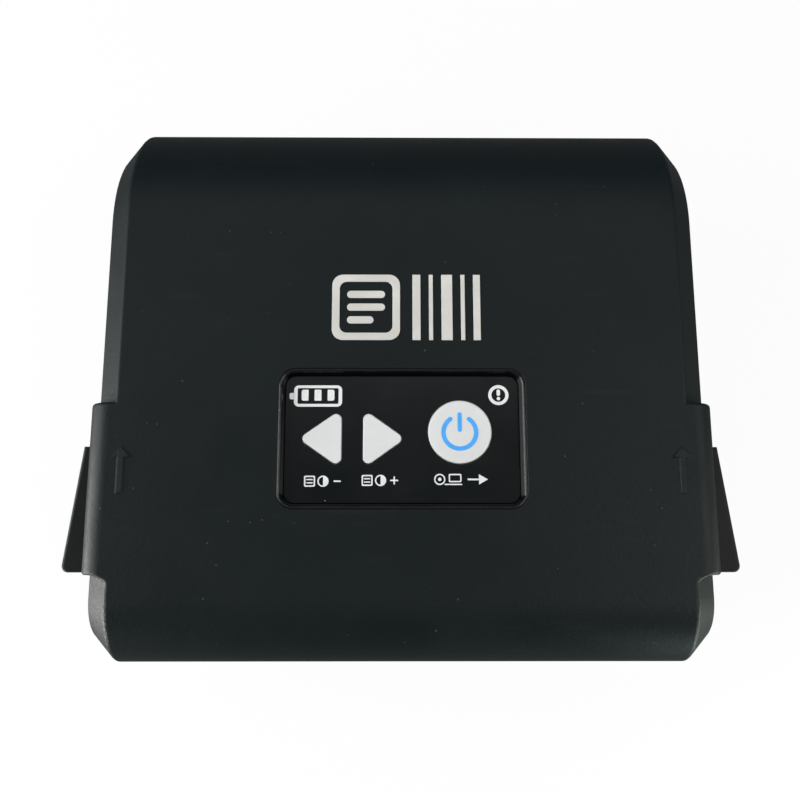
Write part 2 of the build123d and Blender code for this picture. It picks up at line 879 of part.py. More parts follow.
def base_shell():
    """Base: the loaf under the seam, hollow, with its bay, posts, slots, rails and hinge knuckles"""
    notch_back_y = stem_back_y + latch_travel + slide_gap
    notch_front_y = stem_front_y - slide_gap
    notch_floor_z = stem_bottom_z - slide_gap
    rail_y = bay_y - rack_pitch - rack_module - rack_body - slide_gap - rail_width / 2
    rail_reach = guide_outer_x + rack_overrun + guide_travel
    with BuildPart() as shell:
        add(loaf(0, foot_height))
        add(above_seam(seam_gap), mode=Mode.SUBTRACT)
        bottom_edges = shell.edges().group_by(Axis.Z)[0]
        chamfer(bottom_edges, length=bottom_chamfer)
        for x in bevel_edge_places:
            fillet(bevel_edges(shell, foot_height + bottom_chamfer, x).filter_by(Axis.Z), edge_round)
        add(loaf(wall, floor_top), mode=Mode.SUBTRACT)
        # Step under the hinge, where the cover's back wall swings down
        with BuildSketch(Plane.YZ):
            with Locations((hinge_y - knuckle_radius - slide_gap, hinge_z - hinge_drop)):
                Rectangle(2 * half_depth, 2 * half_depth, align=(Align.MIN, Align.MIN))
        extrude(amount=half_width, both=True, mode=Mode.SUBTRACT)
        # Exit slot for the paper, open at the top
        with BuildSketch(Plane.XZ.offset(half_depth - 2 * wall)):
            with Locations((0, slot_floor_z)):
                Rectangle(2 * slot_half_width, body_top, align=(Align.CENTER, Align.MIN))
        extrude(amount=3 * wall, mode=Mode.SUBTRACT)
        # Notches that the latch's stems slide in
        for side in (-1, 1):
            with BuildSketch(Plane.YZ.offset(side * (wall_x - wall))):
                with Locations(((notch_front_y + notch_back_y) / 2, notch_floor_z)):
                    Rectangle(notch_back_y - notch_front_y, body_top, align=(Align.CENTER, Align.MIN))
            extrude(amount=side * 3 * wall, mode=Mode.SUBTRACT)
            # Ribs that the latch springs push against
            with BuildSketch(Plane.YZ.offset(side * (latch_plate_inner_x - latch_rib_margin))):
                with Locations((stem_back_y + latch_spring_length, latch_spring_z)):
                    rib_height = 2 * (stem_top_z - latch_spring_z)
                    Rectangle(latch_rib_thickness, rib_height, align=(Align.MIN, Align.CENTER))
            extrude(amount=side * (wall_x + wall / 2 - latch_plate_inner_x + latch_rib_margin))
            with BuildSketch(Plane.XZ.offset(-stem_back_y - latch_spring_length)):
                with Locations((side * latch_plate_x, latch_spring_z)):
                    Circle(latch_peg_radius)
            extrude(amount=latch_peg_length)
        # Hinge knuckles on feet that leave room for the swinging cover
        for start in base_starts:
            with BuildSketch(Plane.YZ.offset(start)):
                with Locations((hinge_y, hinge_z)):
                    Circle(knuckle_radius)
                with Locations((hinge_y - knuckle_radius, hinge_z - 2 * hinge_drop)):
                    Rectangle(knuckle_radius + slide_gap, 2 * hinge_drop, align=(Align.MIN, Align.MIN))
                    Rectangle(2 * knuckle_radius, hinge_drop, align=(Align.MIN, Align.MIN))
            extrude(amount=knuckle_width)
            with BuildSketch(Plane.YZ.offset(start)):
                with Locations((hinge_y, hinge_z)):
                    Circle(pin_radius)
            extrude(amount=knuckle_width, mode=Mode.SUBTRACT)
        # Battery bay under the main board, open to the battery door
        with BuildSketch(Plane.XY.offset(floor_top)):
            with Locations((0, battery_y)):
                bay_gap = 2 * battery_gap
                Rectangle(
                    battery_width + bay_gap + 2 * battery_wall, battery_depth + bay_gap + 2 * battery_wall
                )
        extrude(amount=battery_ceiling_z + battery_wall - floor_top)
        with BuildSketch(Plane.XY.offset(foot_height)):
            with Locations((0, battery_y)):
                Rectangle(battery_width + bay_gap, battery_depth + bay_gap)
        extrude(amount=battery_ceiling_z - foot_height, mode=Mode.SUBTRACT)
        with BuildSketch(Plane.XY.offset(foot_height)):
            with Locations((0, door_y)):
                Rectangle(door_width + part_gap, door_depth + part_gap)
        extrude(amount=door_thickness, mode=Mode.SUBTRACT)
        add(base_posts([(x, y, z - board_thickness) for x, y, z in board_screw_points]))
        add(base_posts([(x, y, z - frame_sheet) for x, y, z in frame_screw_points]))
        add(base_posts([(x, y, z - bay_wall) for x, y, z in bay_screw_points]))
        add(base_posts([(x, y, z - board_thickness) for x, y, z in charge_screw_points]))
        add(base_posts(door_post_tops))
        with BuildSketch(Plane.XY.offset(foot_height)):
            with Locations((0, battery_y)):
                Rectangle(battery_width + bay_gap, battery_depth + bay_gap)
        extrude(amount=battery_ceiling_z - foot_height, mode=Mode.SUBTRACT)
        # Rails and post for the guides' racks and pinion
        with BuildSketch(Plane.XY.offset(floor_top)):
            for side in (-1, 1):
                with Locations((0, bay_y + side * (bay_y - rail_y))):
                    Rectangle(rail_reach, rail_width)
        extrude(amount=rail_height)
        with BuildSketch(Plane.XY.offset(floor_top)):
            with Locations((0, bay_y)):
                Circle(pinion_post_radius)
        extrude(amount=slide_gap + rack_height + slide_gap)
        # Charging socket's opening
        with BuildSketch(Plane.YZ.offset(wall_x - wall)):
            with Locations((usb_y, usb_z + usb_height / 2)):
                SlotOverall(usb_width + 2 * part_gap, usb_height + 2 * part_gap)
        extrude(amount=3 * wall, mode=Mode.SUBTRACT)
        with BuildSketch(Plane.XY.offset(foot_height)):
            with Locations(*foot_places):
                Circle(foot_radius)
        extrude(amount=foot_recess, mode=Mode.SUBTRACT)
        add(pilots(board_screw_points + charge_screw_points, board_screw_length, True), mode=Mode.SUBTRACT)
        add(pilots(door_screw_points, screw_length, False), mode=Mode.SUBTRACT)
        add(pilots(frame_screw_points + bay_screw_points, screw_length, True), mode=Mode.SUBTRACT)
    return shell


def panel_pieces():
    """Polished bezel and the panel plate that lies in it, with holes for the keys"""
    window_width = bezel_width - 2 * bezel_slope
    window_depth = bezel_depth - 2 * bezel_slope
    with BuildPart() as bezel:
        with BuildSketch(Plane.XY.offset(skin_z)):
            with Locations((0, panel_y)):
                RectangleRounded(bezel_width, bezel_depth, bezel_round)
        extrude(amount=wall)
        with BuildSketch(Plane.XY.offset(skin_z - flange_thickness)):
            with Locations((0, panel_y)):
                RectangleRounded(bezel_width + 2 * ledge_width, bezel_depth + 2 * ledge_width, bezel_round)
        extrude(amount=flange_thickness)
        with BuildSketch(Plane.XY.offset(skin_z - flange_thickness)):
            with Locations((0, panel_y)):
                RectangleRounded(window_width - 2 * ledge_width, window_depth - 2 * ledge_width, panel_round)
        extrude(amount=flange_thickness, mode=Mode.SUBTRACT)
        with BuildSketch(Plane.XY.offset(skin_z)):
            with Locations((0, panel_y)):
                RectangleRounded(window_width, window_depth, panel_round)
        extrude(amount=wall, mode=Mode.SUBTRACT)
        with BuildSketch(Plane.XY.offset(panel_z)):
            with Locations((0, panel_y)):
                RectangleRounded(window_width, window_depth, panel_round)
        with BuildSketch(Plane.XY.offset(body_top)):
            with Locations((0, panel_y)):
                RectangleRounded(
                    bezel_width - 2 * bezel_land, bezel_depth - 2 * bezel_land, bezel_round - bezel_land
                )
        loft(mode=Mode.SUBTRACT)
        fillet(bezel.faces().sort_by(Axis.Z)[-1].inner_wires().edges(), bezel_lip_round)
    with BuildPart() as plate:
        with BuildSketch(Plane.XY.offset(skin_z)):
            with Locations((0, panel_y)):
                RectangleRounded(window_width - part_gap, window_depth - part_gap, panel_round)
            add(key_triangle(down_key_tip_x, down_key_base_x, key_gap), mode=Mode.SUBTRACT)
            add(key_triangle(up_key_tip_x, up_key_base_x, key_gap), mode=Mode.SUBTRACT)
            add(key_circle(key_gap), mode=Mode.SUBTRACT)
        extrude(amount=panel_z - skin_z)
    return bezel, plate


def key(outline, flange):
    """A key cap that stands a little over the panel, with a flange that stops it from below"""
    with BuildPart() as cap:
        with BuildSketch(Plane.XY.offset(key_foot_z)):
            add(outline)
        extrude(amount=panel_z + key_raise - key_foot_z)
        fillet(cap.edges().group_by(Axis.Z)[-1], key_top_round)
        with BuildSketch(Plane.XY.offset(key_foot_z)):
            add(flange)
        extrude(amount=key_flange_thickness)
    return cap


def key_board_pieces():
    """Key board with its three switches, indicator lights and light guides"""
    triangle_x = (down_key_tip_x + 2 * down_key_base_x) / 3
    switch_places = [
        (triangle_x, triangle_y),
        ((up_key_tip_x + 2 * up_key_base_x) / 3, triangle_y),
        (power_key_x, power_key_y),
    ]
    light_pitch = battery_light_width / 3
    light_places = [(battery_light_x + step * light_pitch, battery_light_y) for step in (-1, 0, 1)]
    light_places += [(fault_light_x, fault_light_y)]
    with BuildPart() as board:
        with BuildSketch(Plane.XY.offset(key_board_z)):
            with Locations((0, panel_y)):
                RectangleRounded(key_board_width, key_board_depth, key_board_round)
        extrude(amount=board_thickness)
    with BuildPart() as switches:
        with BuildSketch(Plane.XY.offset(key_board_top)):
            with Locations(*switch_places):
                Rectangle(switch_size, switch_size)
        extrude(amount=switch_height)
        with BuildSketch(Plane.XY.offset(key_board_top)):
            with Locations(*switch_places):
                Circle(switch_button_radius)
        extrude(amount=key_foot_z - key_travel - key_rest_gap - key_board_top)
    with BuildPart() as lights:
        with BuildSketch(Plane.XY.offset(key_board_top)):
            with Locations(*light_places):
                Rectangle(led_width, led_depth)
        extrude(amount=led_height)
    with BuildPart() as guides:
        with BuildSketch(Plane.XY.offset(key_board_top)):
            with Locations((battery_light_x, battery_light_y)):
                RectangleRounded(battery_light_width, battery_light_depth, battery_light_round)
            with Locations((fault_light_x, fault_light_y)):
                Circle(fault_light_radius)
        extrude(amount=skin_z - run_gap - key_board_top)
        with BuildSketch(Plane.XY.offset(key_board_top)):
            with Locations((battery_light_x, battery_light_y)):
                Rectangle(
                    battery_light_width - 2 * light_guide_wall, battery_light_depth - 2 * light_guide_wall
                )
            with Locations((fault_light_x, fault_light_y)):
                Circle(fault_light_radius - light_guide_wall)
        extrude(amount=led_height + led_room, mode=Mode.SUBTRACT)
    return board, switches, lights, guides


def cover_liner():
    """Tray that closes the key board's room from below"""
    middle_y = (liner_front_y + liner_back_y) / 2
    depth = liner_back_y - liner_front_y
    with BuildPart() as tray:
        with BuildSketch(Plane.XY.offset(liner_bottom_z)):
            with Locations((0, middle_y)):
                RectangleRounded(liner_width, depth, 2 * liner_wall)
        extrude(amount=skin_z - liner_bottom_z)
        with BuildSketch(Plane.XY.offset(liner_floor_z)):
            with Locations((0, middle_y)):
                RectangleRounded(liner_width - 2 * liner_wall, depth - 2 * liner_wall, liner_wall)
        extrude(amount=skin_z - liner_floor_z, mode=Mode.SUBTRACT)
        with BuildSketch(Plane.XY.offset(liner_floor_z)):
            with Locations((0, panel_y)):
                stand_x = key_board_width - 2 * stand_inset
                stand_y = key_board_depth - 2 * stand_inset
                with GridLocations(stand_x, stand_y, 2, 2):
                    Circle(stand_radius)
        extrude(amount=stand_height)
        with BuildSketch(Plane.XY.offset(liner_bottom_z)):
            with Locations(*[(x, y) for x, y, z in liner_screw_points]):
                Circle(screw_radius + screw_clearance)
        extrude(amount=liner_wall, mode=Mode.SUBTRACT)
    return tray


def platen_pieces():
    """Platen carrier in the cover, its bushes, and the platen roller with shaft, gear and clip"""
    seat_x = frame_inner_x - part_gap
    with BuildPart() as carrier:
        for side in (-1, 1):
            with BuildSketch(Plane.YZ.offset(side * carrier_x)):
                with Locations((platen_y, platen_z)):
                    Circle(carrier_eye_radius)
                    Rectangle(
                        carrier_back_y - platen_y, carrier_flange_z - platen_z, align=(Align.MIN, Align.MIN)
                    )
                with Locations((platen_y, platen_z)):
                    Circle(bush_radius, mode=Mode.SUBTRACT)
            extrude(amount=side * carrier_thickness)
        with BuildSketch(Plane.XY.offset(carrier_flange_z - carrier_flange_thickness)):
            with Locations((0, carrier_screw_y)):
                Rectangle(2 * carrier_outer_x, carrier_flange_depth)
            with Locations(*[(x, y) for x, y, z in carrier_screw_points]):
                Circle(screw_radius + screw_clearance, mode=Mode.SUBTRACT)
        extrude(amount=carrier_flange_thickness)
    with BuildPart() as bushes:
        for side in (-1, 1):
            with BuildSketch(Plane.YZ.offset(side * seat_x)):
                with Locations((platen_y, platen_z)):
                    Circle(bush_radius)
            extrude(amount=side * (carrier_outer_x - seat_x))
            with BuildSketch(Plane.YZ.offset(side * (carrier_x - bush_flange_width))):
                with Locations((platen_y, platen_z)):
                    Circle(bush_flange_radius)
            extrude(amount=side * bush_flange_width)
            with BuildSketch(Plane.YZ.offset(side * seat_x)):
                with Locations((platen_y, platen_z)):
                    Circle(shaft_radius + run_gap)
            extrude(amount=side * (carrier_outer_x - seat_x), mode=Mode.SUBTRACT)
    with BuildPart() as sleeve:
        with BuildSketch(Plane.YZ):
            with Locations((platen_y, platen_z)):
                Circle(platen_radius)
                Circle(shaft_radius, mode=Mode.SUBTRACT)
        extrude(amount=platen_length / 2, both=True)
    with BuildPart() as shaft:
        with BuildSketch(Plane.YZ.offset(-gear_outer_x - part_gap)):
            with Locations((platen_y, platen_z)):
                Circle(shaft_radius)
        extrude(amount=gear_outer_x + carrier_outer_x + 3 * part_gap + clip_thickness)
    with BuildPart() as clip:
        with BuildSketch(Plane.YZ.offset(carrier_outer_x + part_gap)):
            with Locations((platen_y, platen_z)):
                Circle(clip_radius)
                Circle(shaft_radius, mode=Mode.SUBTRACT)
        extrude(amount=clip_thickness)
    gear = spur_gear(
        gear_module, platen_teeth, train_angle + 180 + 180 / platen_teeth,
        Plane((-gear_outer_x, platen_y, platen_z), x_dir=(0, 1, 0), z_dir=(1, 0, 0)),
        gear_width, shaft_radius, platen_hub_radius, gear_side_gap - part_gap,
    )
    return carrier, bushes, sleeve, shaft, clip, gear


def drive_pieces():
    """Idler gear on its stud, and the stepping motor with shaft and pinion"""
    idler = spur_gear(
        gear_module, idler_teeth, train_angle,
        Plane((-gear_outer_x, idler_y, idler_z), x_dir=(0, 1, 0), z_dir=(1, 0, 0)),
        gear_width, stud_radius + run_gap, idler_hub_radius, gear_inner_x - frame_x - part_gap,
    )
    pinion = spur_gear(
        gear_module, motor_teeth, train_angle + 180 / motor_teeth,
        Plane((-gear_outer_x, motor_y, motor_z), x_dir=(0, 1, 0), z_dir=(1, 0, 0)),
        gear_width, motor_shaft_radius, motor_hub_radius, motor_hub_width,
    )
    with BuildPart() as stud:
        with BuildSketch(Plane.YZ.offset(-frame_inner_x)):
            with Locations((idler_y, idler_z)):
                Circle(stud_radius)
        extrude(amount=frame_inner_x - gear_outer_x - part_gap)
        with BuildSketch(Plane.YZ.offset(-gear_outer_x - part_gap)):
            with Locations((idler_y, idler_z)):
                Circle(stud_head_radius)
        extrude(amount=-clip_thickness)
    with BuildPart() as motor:
        with BuildSketch(Plane.YZ.offset(-frame_inner_x)):
            with Locations((motor_y, motor_z)):
                Circle(motor_radius)
        extrude(amount=motor_length)
        fillet(motor.edges().group_by(Axis.X)[-1], motor_edge_round)
        with BuildSketch(Plane.YZ.offset(-frame_inner_x)):
            with Locations((motor_y, motor_z)):
                Circle(motor_shaft_radius + run_gap)
        extrude(amount=motor_bore_depth, mode=Mode.SUBTRACT)
    with BuildPart() as shaft:
        with BuildSketch(Plane.YZ.offset(-gear_outer_x)):
            with Locations((motor_y, motor_z)):
                Circle(motor_shaft_radius)
        extrude(amount=gear_outer_x - frame_inner_x + motor_bore_depth - part_gap)
    return idler, pinion, stud, motor, shaft


def head_pieces():
    """Print head: heat sink with its pivot barrel, ceramic strip, pivot shaft and springs"""
    with BuildPart() as sink:
        with BuildSketch(Plane.YZ):
            with Locations((head_front_y, sink_bottom_z)):
                Rectangle(pivot_y - head_front_y, head_thickness, align=(Align.MIN, Align.MIN))
            with Locations((pivot_y, pivot_z)):
                Circle(pivot_barrel_radius)
                Circle(pivot_radius + run_gap, mode=Mode.SUBTRACT)
        extrude(amount=head_width / 2, both=True)
    with BuildPart() as ceramic:
        with BuildSketch(Plane.YZ):
            with Locations((head_front_y + ceramic_inset / 3, sink_top_z)):
                Rectangle(
                    pivot_y - pivot_barrel_radius - head_front_y - ceramic_inset, ceramic_thickness,
                    align=(Align.MIN, Align.MIN),
                )
        extrude(amount=head_width / 2 - ceramic_inset / 3, both=True)
    with BuildPart() as pivot:
        with BuildSketch(Plane.YZ):
            with Locations((pivot_y, pivot_z)):
                Circle(pivot_radius)
        extrude(amount=frame_x, both=True)
    with BuildPart() as springs:
        for index in range(head_spring_count):
            x = (index - (head_spring_count - 1) / 2) * head_spring_pitch_x
            seat = Plane((x, head_spring_y, frame_floor_z + frame_sheet))
            add(coil(head_spring_length, head_spring_radius, head_spring_wire, head_spring_turns, seat))
    return sink, ceramic, pivot, springs


def mechanism_frame():
    """Bent steel frame: floor under the head springs, two side plates and four ears"""
    shoulder = bush_radius + seat_shoulder
    with BuildPart() as frame:
        for side in (-1, 1):
            with BuildSketch(Plane.YZ.offset(side * frame_inner_x)):
                with BuildLine():
                    Polyline(
                        (frame_front_y, frame_floor_z),
                        (frame_front_y, platen_z - shoulder),
                        (platen_y - shoulder, platen_z),
                        (platen_y + shoulder, platen_z),
                        (pivot_y + pivot_barrel_radius, pivot_z + pivot_radius),
                        (frame_back_y, motor_z + frame_motor_rise),
                        (frame_back_y, frame_low_z),
                        (frame_floor_back_y, frame_low_z),
                        (frame_floor_back_y, frame_floor_z),
                        close=True,
                    )
                make_face()
                with Locations((platen_y, platen_z)):
                    Circle(bush_radius + slide_gap, mode=Mode.SUBTRACT)
                with Locations((pivot_y, pivot_z)):
                    Circle(pivot_radius, mode=Mode.SUBTRACT)
                if side < 0:
                    with Locations((idler_y, idler_z)):
                        Circle(stud_radius, mode=Mode.SUBTRACT)
                    with Locations((motor_y, motor_z)):
                        Circle(motor_window_radius, mode=Mode.SUBTRACT)
            extrude(amount=side * frame_sheet)
        with BuildSketch(Plane.XY.offset(frame_floor_z)):
            with Locations((0, frame_front_y)):
                Rectangle(2 * frame_x, frame_floor_back_y - frame_front_y, align=(Align.CENTER, Align.MIN))
        extrude(amount=frame_sheet)
        for y, z in ((frame_ear_front_y, frame_floor_z), (frame_ear_back_y, frame_low_z)):
            with BuildSketch(Plane.XY.offset(z)):
                for side in (-1, 1):
                    with Locations((side * (frame_inner_x + (frame_ear_reach + frame_sheet) / 2), y)):
                        Rectangle(frame_ear_reach + frame_sheet, frame_ear_depth)
                    with Locations((side * screw_x_frame, y)):
                        Circle(screw_radius + screw_clearance, mode=Mode.SUBTRACT)
            extrude(amount=frame_sheet)
    return frame


def tear_bar():
    """Serrated steel strip on the exit slot's floor"""
    count = int(2 * slot_half_width / tear_tooth_pitch)
    start_x = -count * tear_tooth_pitch / 2
    root_z = slot_floor_z + tear_bar_height
    with BuildPart() as strip:
        with BuildSketch(Plane.XZ.offset(half_depth - tear_bar_inset - tear_bar_thickness)):
            with BuildLine():
                for tooth in range(count):
                    left = start_x + tooth * tear_tooth_pitch
                    tip = (left + tear_tooth_pitch / 2, root_z + tear_tooth_height)
                    Polyline((left, root_z), tip, (left + tear_tooth_pitch, root_z))
                Polyline((-start_x, root_z), (-start_x, slot_floor_z), (start_x, slot_floor_z))
                Line((start_x, slot_floor_z), (start_x, root_z))
            make_face()
        extrude(amount=tear_bar_thickness)
    return strip


def roll_bay():
    """Roll bay: half-round tub with end walls and ears, and the paper deck that leads to the head"""
    outer = bay_radius + bay_wall
    end_top_z = bay_ear_z + bay_wall
    lane_y = rack_pitch + root_modules * rack_module + rack_body / 2
    slot_low_x = guide_inner_x - guide_travel - slide_gap
    slot_high_x = guide_outer_x + slide_gap
    with BuildPart() as bay:
        with BuildSketch(Plane.YZ):
            with Locations((bay_y, bay_z)):
                Circle(outer)
            with Locations((bay_front_y, bay_z)):
                Rectangle(outer, lip_rise, align=(Align.MIN, Align.MIN))
            with Locations((bay_front_y + bay_wall, bay_z)):
                Rectangle(2 * outer, 2 * outer, align=(Align.MIN, Align.MIN), mode=Mode.SUBTRACT)
            with Locations((bay_y, bay_z - bay_rear_drop)):
                Rectangle(2 * outer, 2 * outer, align=(Align.MIN, Align.MIN), mode=Mode.SUBTRACT)
        extrude(amount=bay_half_width, both=True)
        with BuildSketch(Plane.YZ):
            with Locations((bay_y, bay_z)):
                Circle(bay_radius)
        extrude(amount=bay_half_width - bay_wall, both=True, mode=Mode.SUBTRACT)
        with BuildSketch(Plane.YZ):
            with Locations((bay_front_y + bay_wall, end_top_z)):
                Rectangle(2 * outer, 2 * outer, align=(Align.MIN, Align.MIN))
        extrude(amount=bay_half_width, both=True, mode=Mode.SUBTRACT)
        with BuildSketch(Plane.YZ):
            with BuildLine():
                Polyline(
                    (bay_front_y + bay_wall, lip_z),
                    (bay_front_y, lip_z),
                    (deck_front_y, deck_front_z),
                    (deck_front_y, deck_front_z - bay_wall),
                    (bay_front_y, lip_z - bay_wall),
                    (bay_front_y + bay_wall, lip_z - bay_wall),
                    close=True,
                )
            make_face()
        extrude(amount=deck_half_width, both=True)
        for x, y, z in bay_screw_points:
            side = math.copysign(1, x)
            with BuildSketch(Plane.XY.offset(bay_ear_z)):
                with Locations((side * (bay_half_width + bay_ear_reach / 2 - bay_wall / 2), y)):
                    Rectangle(bay_ear_reach + bay_wall, bay_ear_size)
                with Locations((x, y)):
                    Circle(screw_radius + screw_clearance, mode=Mode.SUBTRACT)
            extrude(amount=bay_wall)
        with BuildSketch(Plane.XY):
            for side in (-1, 1):
                with Locations((side * (slot_low_x + slot_high_x) / 2, bay_y - side * lane_y)):
                    Rectangle(slot_high_x - slot_low_x, rack_body + 2 * slide_gap)
        extrude(amount=bay_z - bay_radius / 2, mode=Mode.SUBTRACT)
        with BuildSketch(Plane.XY.offset(bay_z)):
            with Locations((sensor_x, sensor_y)):
                Rectangle(sensor_width, sensor_depth)
        extrude(amount=body_top, mode=Mode.SUBTRACT)
    return bay


def paper_guide(side):
    """One sliding paper guide with its disc, arm over the deck, core boss, foot and rack"""
    pitch = math.pi * rack_module
    lane_y = bay_y - side * (rack_pitch + root_modules * rack_module + rack_body / 2)
    root_y = bay_y - side * (rack_pitch + root_modules * rack_module)
    tip_y = bay_y - side * (rack_pitch - tip_modules * rack_module)
    half = pitch / 4 - mesh_backlash / 4
    slope = math.tan(math.radians(pressure_angle))
    tip_half = half - tip_modules * rack_module * slope
    root_half = half + root_modules * rack_module * slope
    first = math.ceil((root_half - rack_overrun) / pitch)
    last = math.floor((guide_inner_x - root_half) / pitch)
    arm_z = deck_z(guide_arm_front_y) + guide_deck_gap
    with BuildPart() as guide:
        with BuildSketch(Plane.YZ.offset(side * guide_inner_x)):
            with Locations((bay_y, bay_z)):
                Circle(bay_radius - guide_clearance)
            with Locations((bay_y, guide_top_z)):
                Rectangle(
                    2 * bay_radius, 2 * bay_radius, align=(Align.CENTER, Align.MIN), mode=Mode.SUBTRACT
                )
            with BuildLine():
                Polyline(
                    (bay_y, lip_z + guide_deck_gap),
                    (bay_front_y, lip_z + guide_deck_gap),
                    (guide_arm_front_y, arm_z),
                    (guide_arm_front_y, arm_z + guide_arm_height),
                    (bay_front_y, guide_top_z),
                    (bay_y, guide_top_z),
                    close=True,
                )
            make_face()
            with Locations((lane_y, rack_z)):
                Rectangle(rack_body, bay_z - bay_radius / 2 - rack_z, align=(Align.CENTER, Align.MIN))
        extrude(amount=side * guide_thickness)
        with BuildSketch(Plane.YZ.offset(side * (guide_inner_x - core_length))):
            with Locations((bay_y, bay_z)):
                Circle(core_radius)
        extrude(amount=side * core_length)
        with BuildSketch(Plane.XY.offset(rack_z)):
            with Locations((side * (guide_outer_x - rack_overrun) / 2, lane_y)):
                Rectangle(guide_outer_x + rack_overrun, rack_body)
            for tooth in range(first, last + 1):
                x = side * tooth * pitch
                with BuildLine():
                    Polyline(
                        (x - root_half, root_y),
                        (x - tip_half, tip_y),
                        (x + tip_half, tip_y),
                        (x + root_half, root_y),
                        close=True,
                    )
                make_face()
        extrude(amount=rack_height)
    return guide


def latch_arm():
    """Right latch arm: hook plate, stem through the base's notch and the thumb tab outside"""
    post_front_y = striker_y + striker_radius + slide_gap
    post_back_y = post_front_y + hook_post_width
    nose_front_y = striker_y - striker_radius - slide_gap
    nose_bottom_z = striker_z + striker_radius + slide_gap
    nose_top_z = nose_bottom_z + hook_nose_height
    bar_back_y = bar_front_y + bar_depth
    bar_top_z = bar_bottom_z + bar_height
    tab_inner_x = half_width + tab_wall_gap
    with BuildPart() as arm:
        with BuildSketch(Plane.YZ.offset(latch_plate_inner_x)):
            with BuildLine():
                Polyline(
                    (bar_front_y - bar_margin, bar_bottom_z - bar_margin),
                    (bar_back_y + bar_margin, bar_bottom_z - bar_margin),
                    (bar_back_y + bar_margin, bar_top_z + bar_margin),
                    (stem_back_y, stem_bottom_z + arm_slant),
                    (stem_back_y, stem_top_z),
                    (post_back_y, stem_top_z),
                    (post_back_y, nose_top_z),
                    (nose_front_y + hook_nose_height, nose_top_z),
                    (nose_front_y, nose_bottom_z + hook_nose_height / 3),
                    (nose_front_y, nose_bottom_z),
                    (post_front_y, nose_bottom_z),
                    (post_front_y, stem_top_z),
                    (stem_front_y, stem_top_z),
                    (stem_front_y, stem_bottom_z),
                    (stem_back_y - arm_slant, stem_bottom_z),
                    close=True,
                )
            make_face()
        extrude(amount=latch_plate_thickness)
        with BuildSketch(Plane.YZ.offset(latch_plate_outer_x)):
            with Locations(((stem_front_y + stem_back_y) / 2, (stem_bottom_z + stem_top_z) / 2)):
                Rectangle(stem_back_y - stem_front_y, stem_top_z - stem_bottom_z)
        extrude(amount=tab_inner_x - latch_plate_outer_x)
        with BuildSketch(Plane.XY.offset(tab_bottom_z)):
            with BuildLine():
                Polyline(
                    (tab_inner_x, tab_front_y),
                    (tab_x, tab_front_y),
                    (tab_back_x, tab_back_y),
                    (tab_inner_x, tab_back_y),
                    close=True,
                )
            face = make_face()
            fillet(face.vertices().sort_by(Axis.X)[-1], tab_round)
            fillet(face.vertices().sort_by(Axis.X)[2], tab_back_round)
        extrude(amount=tab_top_z - tab_bottom_z)
        flat_faces = arm.faces().filter_by(Axis.Z)
        top_faces = flat_faces.filter_by(lambda face: abs(face.center().Z - tab_top_z) < tiny)
        fillet(top_faces.edges().filter_by(lambda edge: edge.center().X > tab_inner_x + tiny), tab_edge_round)
        with BuildSketch(Plane.YZ.offset(latch_plate_inner_x)):
            with Locations((bar_front_y + bar_depth / 2, bar_bottom_z + bar_height / 2)):
                Rectangle(bar_depth, bar_height)
        extrude(amount=bar_socket, mode=Mode.SUBTRACT)
        with BuildSketch(Plane.XZ.offset(-stem_back_y)):
            with Locations((latch_plate_x, latch_spring_z)):
                Circle(latch_peg_radius)
        extrude(amount=-latch_peg_length)
    return arm


def inlays():
    """Satin metal pictograms on the cover: a sheet of label lines, and a row of bars"""
    inner = inlay_size - 2 * inlay_line
    line_pitch = inner / (inlay_line_count + 1)
    with BuildPart() as sheet:
        with BuildSketch(Plane.XY.offset(body_top)):
            with Locations((inlay_left_x, inlay_y)):
                RectangleRounded(inlay_size, inlay_size, inlay_round)
                RectangleRounded(inner, inner, inlay_round - inlay_line / 2, mode=Mode.SUBTRACT)
            for line in range(inlay_line_count):
                length = inlay_short_line if line == 0 else inlay_long_line
                line_y = inlay_y + (line - (inlay_line_count - 1) / 2) * line_pitch
                with Locations((inlay_left_x - inlay_long_line / 2, line_y)):
                    SlotOverall(length, inlay_line, align=(Align.MIN, Align.CENTER))
        extrude(amount=inlay_raise)
    gap = (inlay_size - sum(bar_widths)) / (len(bar_widths) - 1)
    with BuildPart() as bars:
        with BuildSketch(Plane.XY.offset(body_top)):
            left = inlay_right_x - inlay_size / 2
            for width in bar_widths:
                with Locations((left + width / 2, inlay_y)):
                    Rectangle(width, inlay_size)
                left += width + gap
        extrude(amount=inlay_raise)
    return sheet, bars


def board_components():
    """Controller, motor driver and the sockets on the main board"""
    socket_y = battery_y - battery_depth / 4
    with BuildPart() as parts:
        with BuildSketch(Plane.XY.offset(board_top)):
            with Locations((controller_x, battery_y + chip_offset_y)):
                Rectangle(controller_size, controller_size)
            with Locations((driver_x, battery_y + chip_offset_y)):
                Rectangle(driver_size, driver_size)
        extrude(amount=chip_height)
        with BuildSketch(Plane.XY.offset(board_top)):
            with Locations((0, battery_y - battery_depth / 2 + board_hole_inset)):
                Rectangle(head_socket_width, socket_depth)
            with Locations((-socket_x, socket_y), (socket_x, socket_y)):
                Rectangle(socket_width, socket_depth)
        extrude(amount=socket_height)
        with BuildSketch(Plane.XY.offset(board_top)):
            with Locations((-capacitor_x, battery_y), (-capacitor_x - capacitor_pitch, battery_y)):
                Circle(capacitor_radius)
        extrude(amount=capacitor_height)
    return parts


write(cover_shell(), "cover_shell")
write(base_shell(), "base_shell")

